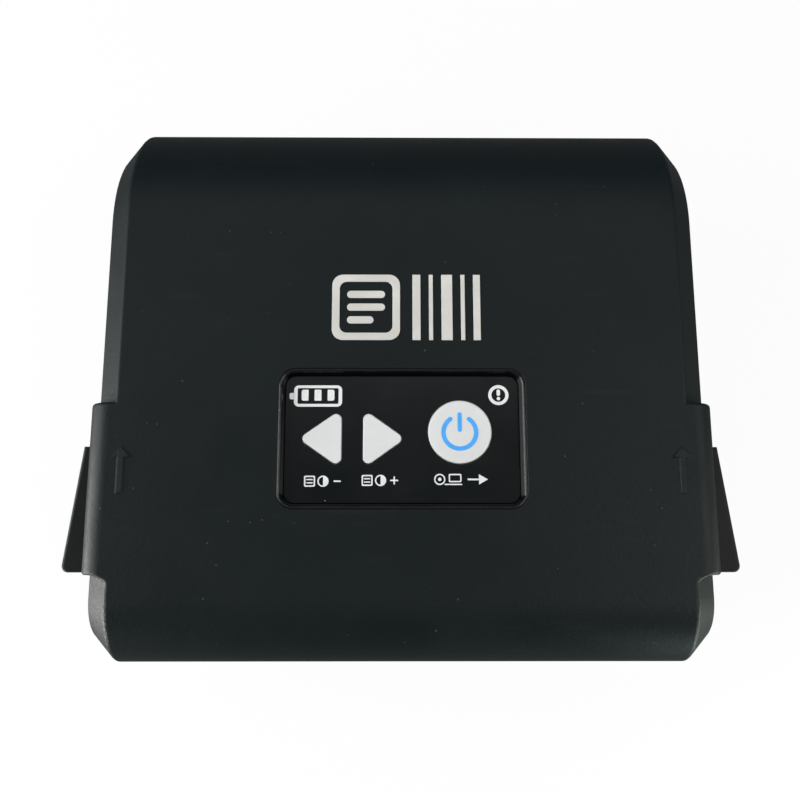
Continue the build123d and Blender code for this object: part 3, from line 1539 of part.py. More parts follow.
panel_bezel, panel_plate = panel_pieces()
write(panel_bezel, "panel_bezel")
write(panel_plate, "panel_plate")
triangles = {
    "darkness_down_key": (down_key_tip_x, down_key_base_x),
    "darkness_up_key": (up_key_tip_x, up_key_base_x),
}
for name, (tip_x, base_x) in triangles.items():
    write(key(key_triangle(tip_x, base_x, 0), key_triangle(tip_x, base_x, key_flange)), name)
write(key(key_circle(0), key_circle(key_flange)), "power_key")
key_board, key_switches, indicator_lights, light_guides = key_board_pieces()
write(key_board, "key_board")
write(key_switches, "key_switches")
write(indicator_lights, "indicator_lights")
write(light_guides, "light_guides")
write(cover_liner(), "cover_liner")
write(screws(liner_screw_points, screw_length, False), "liner_screws")
write(screws(carrier_screw_points, board_screw_length, False), "carrier_screws")

platen_carrier, platen_bushes, platen_sleeve, platen_shaft, platen_clip, platen_gear = platen_pieces()
write(platen_carrier, "platen_carrier")
write(platen_bushes, "platen_bushes")
write(platen_sleeve, "platen_sleeve")
write(platen_shaft, "platen_shaft")
write(platen_clip, "platen_clip")
write(platen_gear, "platen_gear")
idler_gear, motor_pinion, idler_stud, feed_motor, motor_shaft = drive_pieces()
write(idler_gear, "idler_gear")
write(motor_pinion, "motor_pinion")
write(idler_stud, "idler_stud")
write(feed_motor, "feed_motor")
write(motor_shaft, "motor_shaft")
head_sink, head_ceramic, head_pivot, head_springs = head_pieces()
write(head_sink, "print_head_sink")
write(head_ceramic, "print_head_strip")
write(head_pivot, "head_pivot_shaft")
write(head_springs, "head_springs")
write(mechanism_frame(), "mechanism_frame")
write(tear_bar(), "tear_bar")
write(roll_bay(), "roll_bay")
write(paper_guide(1), "right_paper_guide")
write(paper_guide(-1), "left_paper_guide")
guide_pinion = spur_gear(
    rack_module, rack_teeth, 180 / rack_teeth - 90, Plane((0, bay_y, rack_z)),
    rack_height, pinion_post_radius + run_gap, 2 * pinion_post_radius, slide_gap,
)
write(guide_pinion, "guide_pinion")

right_latch_arm = latch_arm()
write(right_latch_arm, "right_latch_arm")
with BuildPart() as left_latch_arm:
    add(right_latch_arm.part.mirror(Plane.YZ))
write(left_latch_arm, "left_latch_arm")
with BuildPart() as latch_bar:
    with BuildSketch(Plane.YZ):
        with Locations((bar_front_y + bar_depth / 2, bar_bottom_z + bar_height / 2)):
            Rectangle(bar_depth, bar_height)
    extrude(amount=latch_plate_inner_x + bar_socket, both=True)
write(latch_bar, "latch_bar")
with BuildPart() as latch_springs:
    for side in (-1, 1):
        seat = Plane((side * latch_plate_x, stem_back_y, latch_spring_z), x_dir=(1, 0, 0), z_dir=(0, 1, 0))
        add(coil(latch_spring_length, latch_spring_radius, latch_spring_wire, latch_spring_turns, seat))
write(latch_springs, "latch_springs")
with BuildPart() as striker_pins:
    for side in (-1, 1):
        with BuildSketch(Plane.YZ.offset(side * (latch_plate_inner_x - part_gap))):
            with Locations((striker_y, striker_z)):
                Circle(striker_radius)
        extrude(amount=side * (striker_rib_x + striker_rib_thickness - latch_plate_inner_x + part_gap))
write(striker_pins, "striker_pins")
with BuildPart() as hinge_pin:
    with BuildSketch(Plane.YZ.offset(hinge_starts[0])):
        with Locations((hinge_y, hinge_z)):
            Circle(pin_radius)
    extrude(amount=hinge_starts[-1] + knuckle_width - hinge_starts[0])
write(hinge_pin, "hinge_pin")

with BuildPart() as battery_pack:
    with BuildSketch(Plane.XY.offset(battery_z)):
        with Locations((0, battery_y)):
            RectangleRounded(battery_width, battery_depth, battery_round)
    extrude(amount=battery_height)
write(battery_pack, "battery_pack")
with BuildPart() as battery_door:
    with BuildSketch(Plane.XY.offset(foot_height)):
        with Locations((0, door_y)):
            Rectangle(door_width, door_depth)
        with Locations(*[(x, y) for x, y, z in door_screw_points]):
            Circle(screw_radius + screw_clearance, mode=Mode.SUBTRACT)
    extrude(amount=door_thickness)
write(battery_door, "battery_door")
write(screws(door_screw_points, screw_length, False), "door_screws")
with BuildPart() as main_board:
    with BuildSketch(Plane.XY.offset(board_z)):
        with Locations((0, battery_y)):
            Rectangle(battery_width, battery_depth)
        with Locations(*[(x, y) for x, y, z in board_screw_points]):
            Circle(screw_radius + screw_clearance, mode=Mode.SUBTRACT)
    extrude(amount=board_thickness)
write(main_board, "main_board")
write(board_components(), "board_components")
with BuildPart() as charging_board:
    with BuildSketch(Plane.XY.offset(charge_board_z)):
        with Locations((charge_board_x, usb_y)):
            Rectangle(charge_board_width, charge_board_depth)
        with Locations(*[(x, y) for x, y, z in charge_screw_points]):
            Circle(screw_radius + screw_clearance, mode=Mode.SUBTRACT)
    extrude(amount=board_thickness)
write(charging_board, "charging_board")
with BuildPart() as charging_socket:
    with BuildSketch(Plane.YZ.offset(half_width - usb_recess - usb_length)):
        with Locations((usb_y, usb_z + usb_height / 2)):
            SlotOverall(usb_width, usb_height)
    extrude(amount=usb_length)
    with BuildSketch(Plane.YZ.offset(half_width - usb_recess)):
        with Locations((usb_y, usb_z + usb_height / 2)):
            SlotOverall(usb_width - 2 * usb_wall, usb_height - 2 * usb_wall)
            Rectangle(usb_width / 2, usb_height / 4, mode=Mode.SUBTRACT)
    extrude(amount=usb_back_wall - usb_length, mode=Mode.SUBTRACT)
write(charging_socket, "charging_socket")
write(screws(board_screw_points + charge_screw_points, board_screw_length, True), "board_screws")
write(screws(frame_screw_points + bay_screw_points, screw_length, True), "chassis_screws")
with BuildPart() as paper_sensor:
    with BuildSketch(Plane.XY.offset(deck_z(sensor_y) - sensor_height - bay_wall / 2)):
        with Locations((sensor_x, sensor_y)):
            Rectangle(sensor_width, sensor_depth)
    extrude(amount=sensor_height)
write(paper_sensor, "paper_sensor")
with BuildPart() as sensor_lamp:
    with BuildSketch(Plane.XY.offset(liner_bottom_z)):
        with Locations((sensor_x, sensor_y)):
            Rectangle(sensor_width, sensor_depth)
    extrude(amount=-liner_wall)
write(sensor_lamp, "sensor_lamp")
with BuildPart() as rubber_feet:
    with BuildSketch(Plane.XY):
        with Locations(*foot_places):
            Circle(foot_radius)
    extrude(amount=foot_height + foot_recess)
    chamfer(rubber_feet.edges().group_by(Axis.Z)[0], length=foot_recess / 2)
write(rubber_feet, "rubber_feet")
label_inlay, bar_inlay = inlays()
write(label_inlay, "label_inlay")
write(bar_inlay, "bar_inlay")
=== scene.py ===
import math

import bmesh
import bpy
from mathutils import Matrix, Vector


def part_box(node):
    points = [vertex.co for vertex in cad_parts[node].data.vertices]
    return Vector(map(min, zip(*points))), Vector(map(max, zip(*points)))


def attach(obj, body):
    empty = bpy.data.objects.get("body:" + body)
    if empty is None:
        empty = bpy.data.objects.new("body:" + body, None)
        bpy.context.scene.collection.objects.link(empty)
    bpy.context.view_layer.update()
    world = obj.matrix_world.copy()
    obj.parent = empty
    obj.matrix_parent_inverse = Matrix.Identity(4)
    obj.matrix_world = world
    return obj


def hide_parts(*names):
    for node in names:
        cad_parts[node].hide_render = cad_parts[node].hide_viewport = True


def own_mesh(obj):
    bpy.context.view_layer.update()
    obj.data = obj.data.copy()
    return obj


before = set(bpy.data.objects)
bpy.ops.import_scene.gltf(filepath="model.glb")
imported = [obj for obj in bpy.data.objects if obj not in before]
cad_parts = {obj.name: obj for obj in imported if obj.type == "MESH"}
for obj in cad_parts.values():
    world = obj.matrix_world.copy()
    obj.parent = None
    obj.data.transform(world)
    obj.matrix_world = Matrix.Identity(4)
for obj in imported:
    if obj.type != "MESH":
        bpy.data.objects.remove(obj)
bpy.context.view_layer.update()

# The label printer's looks: a finish for every CAD node, wound springs that shorten with their joints,
# and the thin printed marks on the key panel and the power key.
# Lengths are in metres, in the CAD's frame. A length in millimetres is times MM.
MM = 0.001


# Shader nodes


def put(tree, kind, sockets=None, **settings):
    """Adds a shader node. A socket's entry is a number, a colour or another node's output"""
    made = tree.nodes.new("ShaderNode" + kind)
    for name, value in settings.items():
        setattr(made, name, value)
    for name, value in (sockets or {}).items():
        if isinstance(value, bpy.types.NodeSocket):
            tree.links.new(value, made.inputs[name])
        else:
            made.inputs[name].default_value = value
    return made


def calculate(tree, operation, first, second=0.0):
    """A sum, product or other step of arithmetic between two values"""
    return put(tree, "Math", {0: first, 1: second}, operation=operation).outputs[0]


def times(tree, value, factor):
    """The value times a factor"""
    return calculate(tree, "MULTIPLY", value, factor)


def stretch(tree, value, low, high, start=0.0, end=1.0):
    """The value's range from low to high, laid over the range from start to end"""
    limits = {"Value": value, "From Min": low, "From Max": high, "To Min": start, "To Max": end}
    return put(tree, "MapRange", limits).outputs["Result"]


def blend_colour(tree, share, first, second):
    """The first colour where the share is 0, the second where it is 1"""
    ends = [(*colour, 1.0) if isinstance(colour, tuple) else colour for colour in (first, second)]
    # The Mix node has a set of sockets for each kind of data. Those for colours are 6, 7 and output 2.
    return put(tree, "Mix", {0: share, 6: ends[0], 7: ends[1]}, data_type="RGBA").outputs[2]


def own_place(tree):
    """The piece's own coordinates, which are those of the CAD's frame when the printer is at rest"""
    return put(tree, "TexCoord").outputs["Object"]


# Effects that the finishes share, each a node group


def effect(name, inputs, outputs):
    """An empty node group with number inputs and named outputs"""
    tree = bpy.data.node_groups.new(name, "ShaderNodeTree")
    for label, value in inputs.items():
        socket = tree.interface.new_socket(label, in_out="INPUT", socket_type="NodeSocketFloat")
        socket.default_value = value
    for label, kind in outputs.items():
        tree.interface.new_socket(label, in_out="OUTPUT", socket_type="NodeSocket" + kind)
    entry = tree.nodes.new("NodeGroupInput")
    result = tree.nodes.new("NodeGroupOutput")
    return tree, entry.outputs, result.inputs


def make_moulded_grain():
    """Spark-eroded tool texture: Height for a bump, at a number of grains per metre"""
    pit_scale, pit_share = 0.42, 0.55
    tree, given, result = effect("moulded_grain", {"Scale": 2500.0}, {"Height": "Float"})
    place = own_place(tree)
    fine = put(tree, "TexNoise", {"Vector": place, "Scale": given["Scale"], "Detail": 2.0})
    pits = put(tree, "TexVoronoi", {"Vector": place, "Scale": times(tree, given["Scale"], pit_scale)})
    coarse = times(tree, pits.outputs["Distance"], pit_share)
    tree.links.new(calculate(tree, "ADD", fine.outputs["Fac"], coarse), result["Height"])
    return tree


def make_slow_cloud():
    """Soft patches where the surface was touched or flowed in the mould, as a Mask"""
    tree, given, result = effect("slow_cloud", {"Scale": 30.0}, {"Mask": "Float"})
    sockets = {"Vector": own_place(tree), "Scale": given["Scale"], "Detail": 4.0, "Distortion": 0.6}
    noise = put(tree, "TexNoise", sockets)
    tree.links.new(stretch(tree, noise.outputs["Fac"], 0.3, 0.7), result["Mask"])
    return tree


def make_dust_specks():
    """Sparse round specks as a Mask: in a Share of the cells, with a radius of up to Size of a cell"""
    inputs = {"Scale": 160.0, "Size": 0.03, "Share": 0.3}
    tree, given, result = effect("dust_specks", inputs, {"Mask": "Float"})
    cell = put(tree, "TexVoronoi", {"Vector": own_place(tree), "Scale": given["Scale"]})
    chance = put(tree, "SeparateColor", {"Color": cell.outputs["Color"]}).outputs
    radius = times(tree, chance["Green"], given["Size"])
    inside = calculate(tree, "LESS_THAN", cell.outputs["Distance"], radius)
    chosen = calculate(tree, "LESS_THAN", chance["Red"], given["Share"])
    tree.links.new(times(tree, inside, chosen), result["Mask"])
    return tree


def make_rounded_edge():
    """Softened edges: the Normal rounds them by a Radius in metres, and Edge is 1 along them"""
    flat, full_edge = 0.99, 0.86
    outputs = {"Normal": "Vector", "Edge": "Float"}
    tree, given, result = effect("rounded_edge", {"Radius": 0.3 * MM}, outputs)
    soft = put(tree, "Bevel", {"Radius": given["Radius"]}, samples=6).outputs["Normal"]
    sharp = put(tree, "NewGeometry").outputs["Normal"]
    likeness = put(tree, "VectorMath", {0: soft, 1: sharp}, operation="DOT_PRODUCT").outputs["Value"]
    tree.links.new(soft, result["Normal"])
    tree.links.new(stretch(tree, likeness, flat, full_edge), result["Edge"])
    return tree


def make_fine_scratches():
    """Hair-thin scuffs in two directions, as a Mask of up to an Amount"""
    tree, given, result = effect("fine_scratches", {"Scale": 60.0, "Amount": 0.5}, {"Mask": "Float"})
    place = own_place(tree)
    masks = []
    for turn, thinness in ((0.5, 14.0), (-0.9, 10.0)):
        mapping = {"Vector": place, "Rotation": (0, 0, turn), "Scale": (1, thinness, 1)}
        turned = put(tree, "Mapping", mapping).outputs["Vector"]
        noise = put(tree, "TexNoise", {"Vector": turned, "Scale": given["Scale"], "Detail": 3.0})
        masks.append(stretch(tree, noise.outputs["Fac"], 0.66, 0.72))
    both = calculate(tree, "MAXIMUM", *masks)
    tree.links.new(times(tree, both, given["Amount"]), result["Mask"])
    return tree


def make_drawn_lines():
    """Lines of brushing, drawing or turning, as a Height. Across is their number per metre on an axis"""
    inputs = {"Across X": 20.0, "Across Y": 3000.0, "Across Z": 3000.0}
    tree, given, result = effect("drawn_lines", inputs, {"Height": "Float"})
    across = put(tree, "CombineXYZ", {axis: given["Across " + axis] for axis in "XYZ"})
    product = {0: own_place(tree), 1: across.outputs["Vector"]}
    lined = put(tree, "VectorMath", product, operation="MULTIPLY").outputs["Vector"]
    noise = put(tree, "TexNoise", {"Vector": lined, "Scale": 1.0, "Detail": 4.0})
    tree.links.new(noise.outputs["Fac"], result["Height"])
    return tree


effects = {
    tree.name: tree
    for tree in (
        make_moulded_grain(), make_slow_cloud(), make_dust_specks(), make_rounded_edge(),
        make_fine_scratches(), make_drawn_lines(),
    )
}


def use(tree, name, **values):
    """Places an effect in a material with its own values, in which a _ stands for a space"""
    made = put(tree, "Group", node_tree=effects[name])
    for label, value in values.items():
        made.inputs[label.replace("_", " ")].default_value = value
    return made.outputs


# Finishes. Where rough has two values, they are the roughness at the two ends of a mask.


def new_finish(name, **constants):
    """A material with its shader's constant values, and its tree and shader inputs"""
    material = bpy.data.materials.new(name)
    material.use_nodes = True
    tree = material.node_tree
    shader = tree.nodes["Principled BSDF"].inputs
    for label, value in constants.items():
        shader[label.replace("_", " ")].default_value = value
    return material, tree, shader


def bump(tree, shader, height, depth, normal=None):
    """Raises a height by a depth in metres, over the rounded edges' normal"""
    sockets = {"Height": height, "Strength": 1.0, "Distance": depth}
    if normal is not None:
        sockets["Normal"] = normal
    tree.links.new(put(tree, "Bump", sockets).outputs["Normal"], shader["Normal"])


def moulded_plastic(name, dark, light, edge, rough, grain, depth, edge_radius, dust=0.0, **constants):
    """Moulded plastic: cloudy colour, tool grain, paler edges, and a share of dust specks. The paler edges
    are wear on most parts and a painted highlight on the tab
    """
    edge_wear_and_highlight, dust_colour = 0.7, (0.22, 0.23, 0.23)
    material, tree, shader = new_finish(name, **constants)
    cloud = use(tree, "slow_cloud", Scale=34.0)["Mask"]
    rim = use(tree, "rounded_edge", Radius=edge_radius)
    colour = blend_colour(tree, cloud, dark, light)
    colour = blend_colour(tree, times(tree, rim["Edge"], edge_wear_and_highlight), colour, edge)
    if dust:
        specks = use(tree, "dust_specks", Scale=190.0, Size=0.045, Share=dust)["Mask"]
        colour = blend_colour(tree, specks, colour, dust_colour)
    tree.links.new(colour, shader["Base Color"])
    tree.links.new(stretch(tree, cloud, 0, 1, *rough), shader["Roughness"])
    height = use(tree, "moulded_grain", Scale=grain)["Height"]
    bump(tree, shader, height, depth, rim["Normal"])
    return material


def soft_touch_case():
    """Soft-touch coat: matt black with a green cast, fine grain, faint hand marks and dust"""
    dark, light, edge = (0.0026, 0.0058, 0.0062), (0.0038, 0.0074, 0.0075), (0.03, 0.036, 0.035)
    scuff, dust_colour = (0.02, 0.025, 0.024), (0.2, 0.21, 0.2)
    edge_wear_and_highlight, edge_polish, dust_share = 0.25, 0.12, 0.25
    rough, depth = (0.46, 0.54), 0.035 * MM
    material, tree, shader = new_finish("soft_touch_case", Specular_IOR_Level=0.2)
    cloud = use(tree, "slow_cloud", Scale=26.0)["Mask"]
    hand_marks = use(tree, "slow_cloud", Scale=75.0)["Mask"]
    rim = use(tree, "rounded_edge", Radius=0.4 * MM)
    specks = use(tree, "dust_specks", Scale=480.0, Size=0.09, Share=0.25)["Mask"]
    hairs = use(tree, "fine_scratches", Scale=45.0, Amount=0.12)["Mask"]
    colour = blend_colour(tree, cloud, dark, light)
    # Paler edges: partly edge wear, partly a painted highlight along the edges
    colour = blend_colour(tree, times(tree, rim["Edge"], edge_wear_and_highlight), colour, edge)
    colour = blend_colour(tree, hairs, colour, scuff)
    colour = blend_colour(tree, times(tree, specks, dust_share), colour, dust_colour)
    tree.links.new(colour, shader["Base Color"])
    haze = stretch(tree, hand_marks, 0, 1, *rough)
    polished = times(tree, rim["Edge"], edge_polish)
    tree.links.new(calculate(tree, "SUBTRACT", haze, polished), shader["Roughness"])
    height = use(tree, "moulded_grain", Scale=2300.0)["Height"]
    bump(tree, shader, height, depth, rim["Normal"])
    return material


def polished_black(name, black, rough, edge_radius):
    """Polished black resin: faint haze of wiping, hair scratches and a few specks of dust"""
    scuff, dust_colour = (0.02, 0.022, 0.024), (0.3, 0.31, 0.31)
    dust_rough, depth = 0.5, 0.003 * MM
    material, tree, shader = new_finish(name)
    cloud = use(tree, "slow_cloud", Scale=60.0)["Mask"]
    rim = use(tree, "rounded_edge", Radius=edge_radius)
    hairs = use(tree, "fine_scratches", Scale=90.0, Amount=0.1)["Mask"]
    specks = use(tree, "dust_specks", Scale=330.0, Size=0.045, Share=0.25)["Mask"]
    colour = blend_colour(tree, hairs, black, scuff)
    tree.links.new(blend_colour(tree, specks, colour, dust_colour), shader["Base Color"])
    haze = stretch(tree, cloud, 0, 1, *rough)
    tree.links.new(calculate(tree, "ADD", haze, times(tree, specks, dust_rough)), shader["Roughness"])
    height = use(tree, "moulded_grain", Scale=420.0)["Height"]
    bump(tree, shader, height, depth, rim["Normal"])
    return material


def key_resin():
    """Satin white key tops with a trace of grime along the edge"""
    dark, light = (0.73, 0.735, 0.725), (0.77, 0.775, 0.765)
    grime, grime_share, fleck = (0.6, 0.6, 0.58), 0.35, (0.45, 0.44, 0.42)
    rough, depth = (0.34, 0.44), 0.006 * MM
    material, tree, shader = new_finish(
        "key_resin", Subsurface_Weight=0.12, Subsurface_Scale=0.6 * MM, Subsurface_Radius=(1.0, 0.9, 0.8)
    )
    cloud = use(tree, "slow_cloud", Scale=120.0)["Mask"]
    rim = use(tree, "rounded_edge", Radius=0.18 * MM)
    specks = use(tree, "dust_specks", Scale=500.0, Size=0.05, Share=0.12)["Mask"]
    colour = blend_colour(tree, cloud, dark, light)
    colour = blend_colour(tree, times(tree, rim["Edge"], grime_share), colour, grime)
    tree.links.new(blend_colour(tree, specks, colour, fleck), shader["Base Color"])
    tree.links.new(stretch(tree, cloud, 0, 1, *rough), shader["Roughness"])
    height = use(tree, "moulded_grain", Scale=5200.0)["Height"]
    bump(tree, shader, height, depth, rim["Normal"])
    return material


def light_pipe():
    """Milky clear resin of the light guides and lamps"""
    dark, light = (0.8, 0.82, 0.83), (0.9, 0.91, 0.9)
    rough, depth = (0.28, 0.4), 0.004 * MM
    material, tree, shader = new_finish("light_pipe", Transmission_Weight=0.45, IOR=1.49, Metallic=0.0)
    cloud = use(tree, "slow_cloud", Scale=260.0)["Mask"]
    rim = use(tree, "rounded_edge", Radius=0.15 * MM)
    tree.links.new(blend_colour(tree, cloud, dark, light), shader["Base Color"])
    tree.links.new(stretch(tree, cloud, 0, 1, *rough), shader["Roughness"])
    height = use(tree, "moulded_grain", Scale=3000.0)["Height"]
    bump(tree, shader, height, depth, rim["Normal"])
    return material


def gear_resin():
    """White gear resin: slightly yellow, with flow swirls, pale edges and a film of grease"""
    dark, light, edge = (0.66, 0.645, 0.58), (0.75, 0.74, 0.69), (0.8, 0.79, 0.75)
    rough, depth = (0.2, 0.5), 0.006 * MM
    material, tree, shader = new_finish(
        "gear_resin", Subsurface_Weight=0.15, Subsurface_Scale=0.8 * MM, Subsurface_Radius=(1.0, 0.85, 0.65)
    )
    swirl = use(tree, "slow_cloud", Scale=210.0)["Mask"]
    grease = use(tree, "slow_cloud", Scale=650.0)["Mask"]
    rim = use(tree, "rounded_edge", Radius=0.12 * MM)
    colour = blend_colour(tree, swirl, dark, light)
    tree.links.new(blend_colour(tree, rim["Edge"], colour, edge), shader["Base Color"])
    tree.links.new(stretch(tree, grease, 0, 1, *rough), shader["Roughness"])
    height = use(tree, "moulded_grain", Scale=3500.0)["Height"]
    bump(tree, shader, height, depth, rim["Normal"])
    return material


def bare_metal(name, dark, light, rough, lines, depth, edge_radius):
    """Bare metal with drawn or turned lines, fine scratches and bright edges"""
    edge_wear_and_highlight, line_rough = 0.6, 0.1
    bright = tuple(min(1.0, value * 1.18) for value in light)
    material, tree, shader = new_finish(name, Metallic=1.0)
    streak = use(tree, "drawn_lines", Across_X=lines[0], Across_Y=lines[1], Across_Z=lines[2])["Height"]
    cloud = use(tree, "slow_cloud", Scale=140.0)["Mask"]
    hairs = use(tree, "fine_scratches", Scale=130.0, Amount=0.6)["Mask"]
    rim = use(tree, "rounded_edge", Radius=edge_radius)
    worn = calculate(tree, "MAXIMUM", times(tree, rim["Edge"], edge_wear_and_highlight), hairs)
    colour = blend_colour(tree, streak, dark, light)
    tree.links.new(blend_colour(tree, worn, colour, bright), shader["Base Color"])
    haze = stretch(tree, cloud, 0, 1, *rough)
    tree.links.new(calculate(tree, "ADD", haze, times(tree, streak, line_rough)), shader["Roughness"])
    bump(tree, shader, streak, depth, rim["Normal"])
    return material


def bright_zinc():
    """Zinc-plated sheet: small crystal patches that differ in tone, scratches and bright cut edges"""
    dark, light, bright = (0.5, 0.51, 0.52), (0.64, 0.645, 0.63), (0.8, 0.8, 0.79)
    edge_wear_and_highlight, rough, depth = 0.7, (0.24, 0.38), 0.005 * MM
    material, tree, shader = new_finish("bright_zinc", Metallic=1.0)
    patch = put(tree, "TexVoronoi", {"Vector": own_place(tree), "Scale": 420.0, "Randomness": 1.0})
    tone = put(tree, "SeparateColor", {"Color": patch.outputs["Color"]}).outputs["Red"]
    rim = use(tree, "rounded_edge", Radius=0.16 * MM)
    hairs = use(tree, "fine_scratches", Scale=110.0, Amount=0.5)["Mask"]
    worn = calculate(tree, "MAXIMUM", times(tree, rim["Edge"], edge_wear_and_highlight), hairs)
    colour = blend_colour(tree, tone, dark, light)
    tree.links.new(blend_colour(tree, worn, colour, bright), shader["Base Color"])
    tree.links.new(stretch(tree, tone, 0, 1, *rough), shader["Roughness"])
    height = use(tree, "drawn_lines", Across_X=900.0, Across_Y=900.0, Across_Z=900.0)["Height"]
    bump(tree, shader, height, depth, rim["Normal"])
    return material


def inlay_silver():
    """Satin champagne silver of the cover's pictograms, with a sanded grain"""
    dark, light, edge = (0.66, 0.645, 0.59), (0.75, 0.735, 0.68), (0.82, 0.81, 0.77)
    sand_low, sand_high = 0.3, 1.0
    rough, depth = (0.34, 0.5), 0.008 * MM
    material, tree, shader = new_finish("inlay_silver_satin", Metallic=0.35)
    cloud = use(tree, "slow_cloud", Scale=190.0)["Mask"]
    rim = use(tree, "rounded_edge", Radius=0.08 * MM)
    sand = use(tree, "moulded_grain", Scale=6500.0)["Height"]
    colour = blend_colour(tree, cloud, dark, light)
    tree.links.new(blend_colour(tree, rim["Edge"], colour, edge), shader["Base Color"])
    tree.links.new(stretch(tree, sand, sand_low, sand_high, *rough), shader["Roughness"])
    bump(tree, shader, sand, depth, rim["Normal"])
    return material


def head_glaze():
    """Brown glaze of the print head's strip, with the dark heater line and pale lead lines behind it"""
    dark, light = (0.2, 0.15, 0.1), (0.27, 0.21, 0.15)
    lead, heater = (0.5, 0.42, 0.27), (0.02, 0.018, 0.017)
    line_share, heater_half, heater_fade = 0.36, 0.22 * MM, 0.12 * MM
    lead_pitch, lead_gap, lead_fade = 0.9 * MM, 0.4 * MM, 0.2 * MM
    rough, depth = (0.14, 0.24), 0.002 * MM
    material, tree, shader = new_finish("head_glaze", Coat_Weight=0.6, Coat_Roughness=0.06)
    low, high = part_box("print_head_strip")
    line_y = low.y + line_share * (high.y - low.y)
    place = put(tree, "SeparateXYZ", {"Vector": own_place(tree)}).outputs
    off_line = calculate(tree, "ABSOLUTE", calculate(tree, "SUBTRACT", place["Y"], line_y))
    heated = stretch(tree, off_line, heater_half, heater_half + heater_fade, 1.0, 0.0)
    comb = calculate(tree, "SINE", times(tree, place["X"], math.tau / lead_pitch))
    behind = stretch(tree, place["Y"], line_y + lead_gap, line_y + lead_gap + lead_fade)
    leads = times(tree, stretch(tree, comb, 0.1, 0.4), behind)
    cloud = use(tree, "slow_cloud", Scale=160.0)["Mask"]
    colour = blend_colour(tree, cloud, dark, light)
    colour = blend_colour(tree, leads, colour, lead)
    tree.links.new(blend_colour(tree, heated, colour, heater), shader["Base Color"])
    tree.links.new(stretch(tree, cloud, 0, 1, *rough), shader["Roughness"])
    height = use(tree, "moulded_grain", Scale=900.0)["Height"]
    bump(tree, shader, height, depth)
    return material


def sintered_bronze():
    """Oil-filled sintered bronze: open pores and a dark oil film"""
    dark, light, pore = (0.5, 0.36, 0.17), (0.66, 0.5, 0.26), (0.16, 0.1, 0.05)
    rough, pore_depth = (0.28, 0.46), 0.01 * MM
    material, tree, shader = new_finish("sintered_bronze", Metallic=1.0)
    pores = use(tree, "dust_specks", Scale=2600.0, Size=0.7, Share=0.55)["Mask"]
    oil = use(tree, "slow_cloud", Scale=500.0)["Mask"]
    rim = use(tree, "rounded_edge", Radius=0.12 * MM)
    colour = blend_colour(tree, oil, dark, light)
    tree.links.new(blend_colour(tree, pores, colour, pore), shader["Base Color"])
    tree.links.new(stretch(tree, oil, 0, 1, *rough), shader["Roughness"])
    bump(tree, shader, pores, -pore_depth, rim["Normal"])
    return material


def ground_rubber():
    """Ground platen rubber: rings from the grinding wheel and a pale trace of paper dust"""
    dark, light = (0.035, 0.036, 0.04), (0.06, 0.061, 0.066)
    bloom, bloom_share, paper_dust = (0.12, 0.12, 0.122), 0.3, (0.3, 0.3, 0.29)
    rough, depth = (0.6, 0.78), 0.02 * MM
    material, tree, shader = new_finish("ground_rubber", Specular_IOR_Level=0.3)
    rings = use(tree, "drawn_lines", Across_X=4200.0, Across_Y=120.0, Across_Z=120.0)["Height"]
    cloud = use(tree, "slow_cloud", Scale=90.0)["Mask"]
    specks = use(tree, "dust_specks", Scale=900.0, Size=0.16, Share=0.35)["Mask"]
    rim = use(tree, "rounded_edge", Radius=0.2 * MM)
    colour = blend_colour(tree, rings, dark, light)
    colour = blend_colour(tree, times(tree, cloud, bloom_share), colour, bloom)
    tree.links.new(blend_colour(tree, specks, colour, paper_dust), shader["Base Color"])
    tree.links.new(stretch(tree, cloud, 0, 1, *rough), shader["Roughness"])
    bump(tree, shader, rings, depth, rim["Normal"])
    return material


def board_lacquer():
    """Green board lacquer over copper tracks, with tinned through-holes"""
    dark, light, over_copper = (0.006, 0.05, 0.022), (0.008, 0.065, 0.028), (0.012, 0.11, 0.045)
    tin, cut_edge = (0.6, 0.58, 0.5), (0.25, 0.23, 0.12)
    rough, depth = (0.3, 0.42), 0.03 * MM
    cells_per_metre, upright_scale = 330.0, 0.2
    material, tree, shader = new_finish("board_lacquer", Coat_Weight=0.35, Coat_Roughness=0.12)
    mapping = {"Vector": own_place(tree), "Scale": (1.0, 1.0, upright_scale)}
    cells = {"Vector": put(tree, "Mapping", mapping).outputs["Vector"], "Scale": cells_per_metre}
    nearest, second = [
        put(tree, "TexVoronoi", cells, distance="CHEBYCHEV", feature=feature).outputs["Distance"]
        for feature in ("F1", "F2")
    ]
    tracks = stretch(tree, calculate(tree, "SUBTRACT", second, nearest), 0.1, 0.16)
    holes = use(tree, "dust_specks", Scale=430.0, Size=0.2, Share=0.3)["Mask"]
    cloud = use(tree, "slow_cloud", Scale=80.0)["Mask"]
    rim = use(tree, "rounded_edge", Radius=0.1 * MM)
    colour = blend_colour(tree, cloud, dark, light)
    colour = blend_colour(tree, tracks, colour, over_copper)
    colour = blend_colour(tree, holes, colour, tin)
    tree.links.new(blend_colour(tree, rim["Edge"], colour, cut_edge), shader["Base Color"])
    tree.links.new(stretch(tree, cloud, 0, 1, *rough), shader["Roughness"])
    tree.links.new(holes, shader["Metallic"])
    bump(tree, shader, tracks, depth, rim["Normal"])
    return material


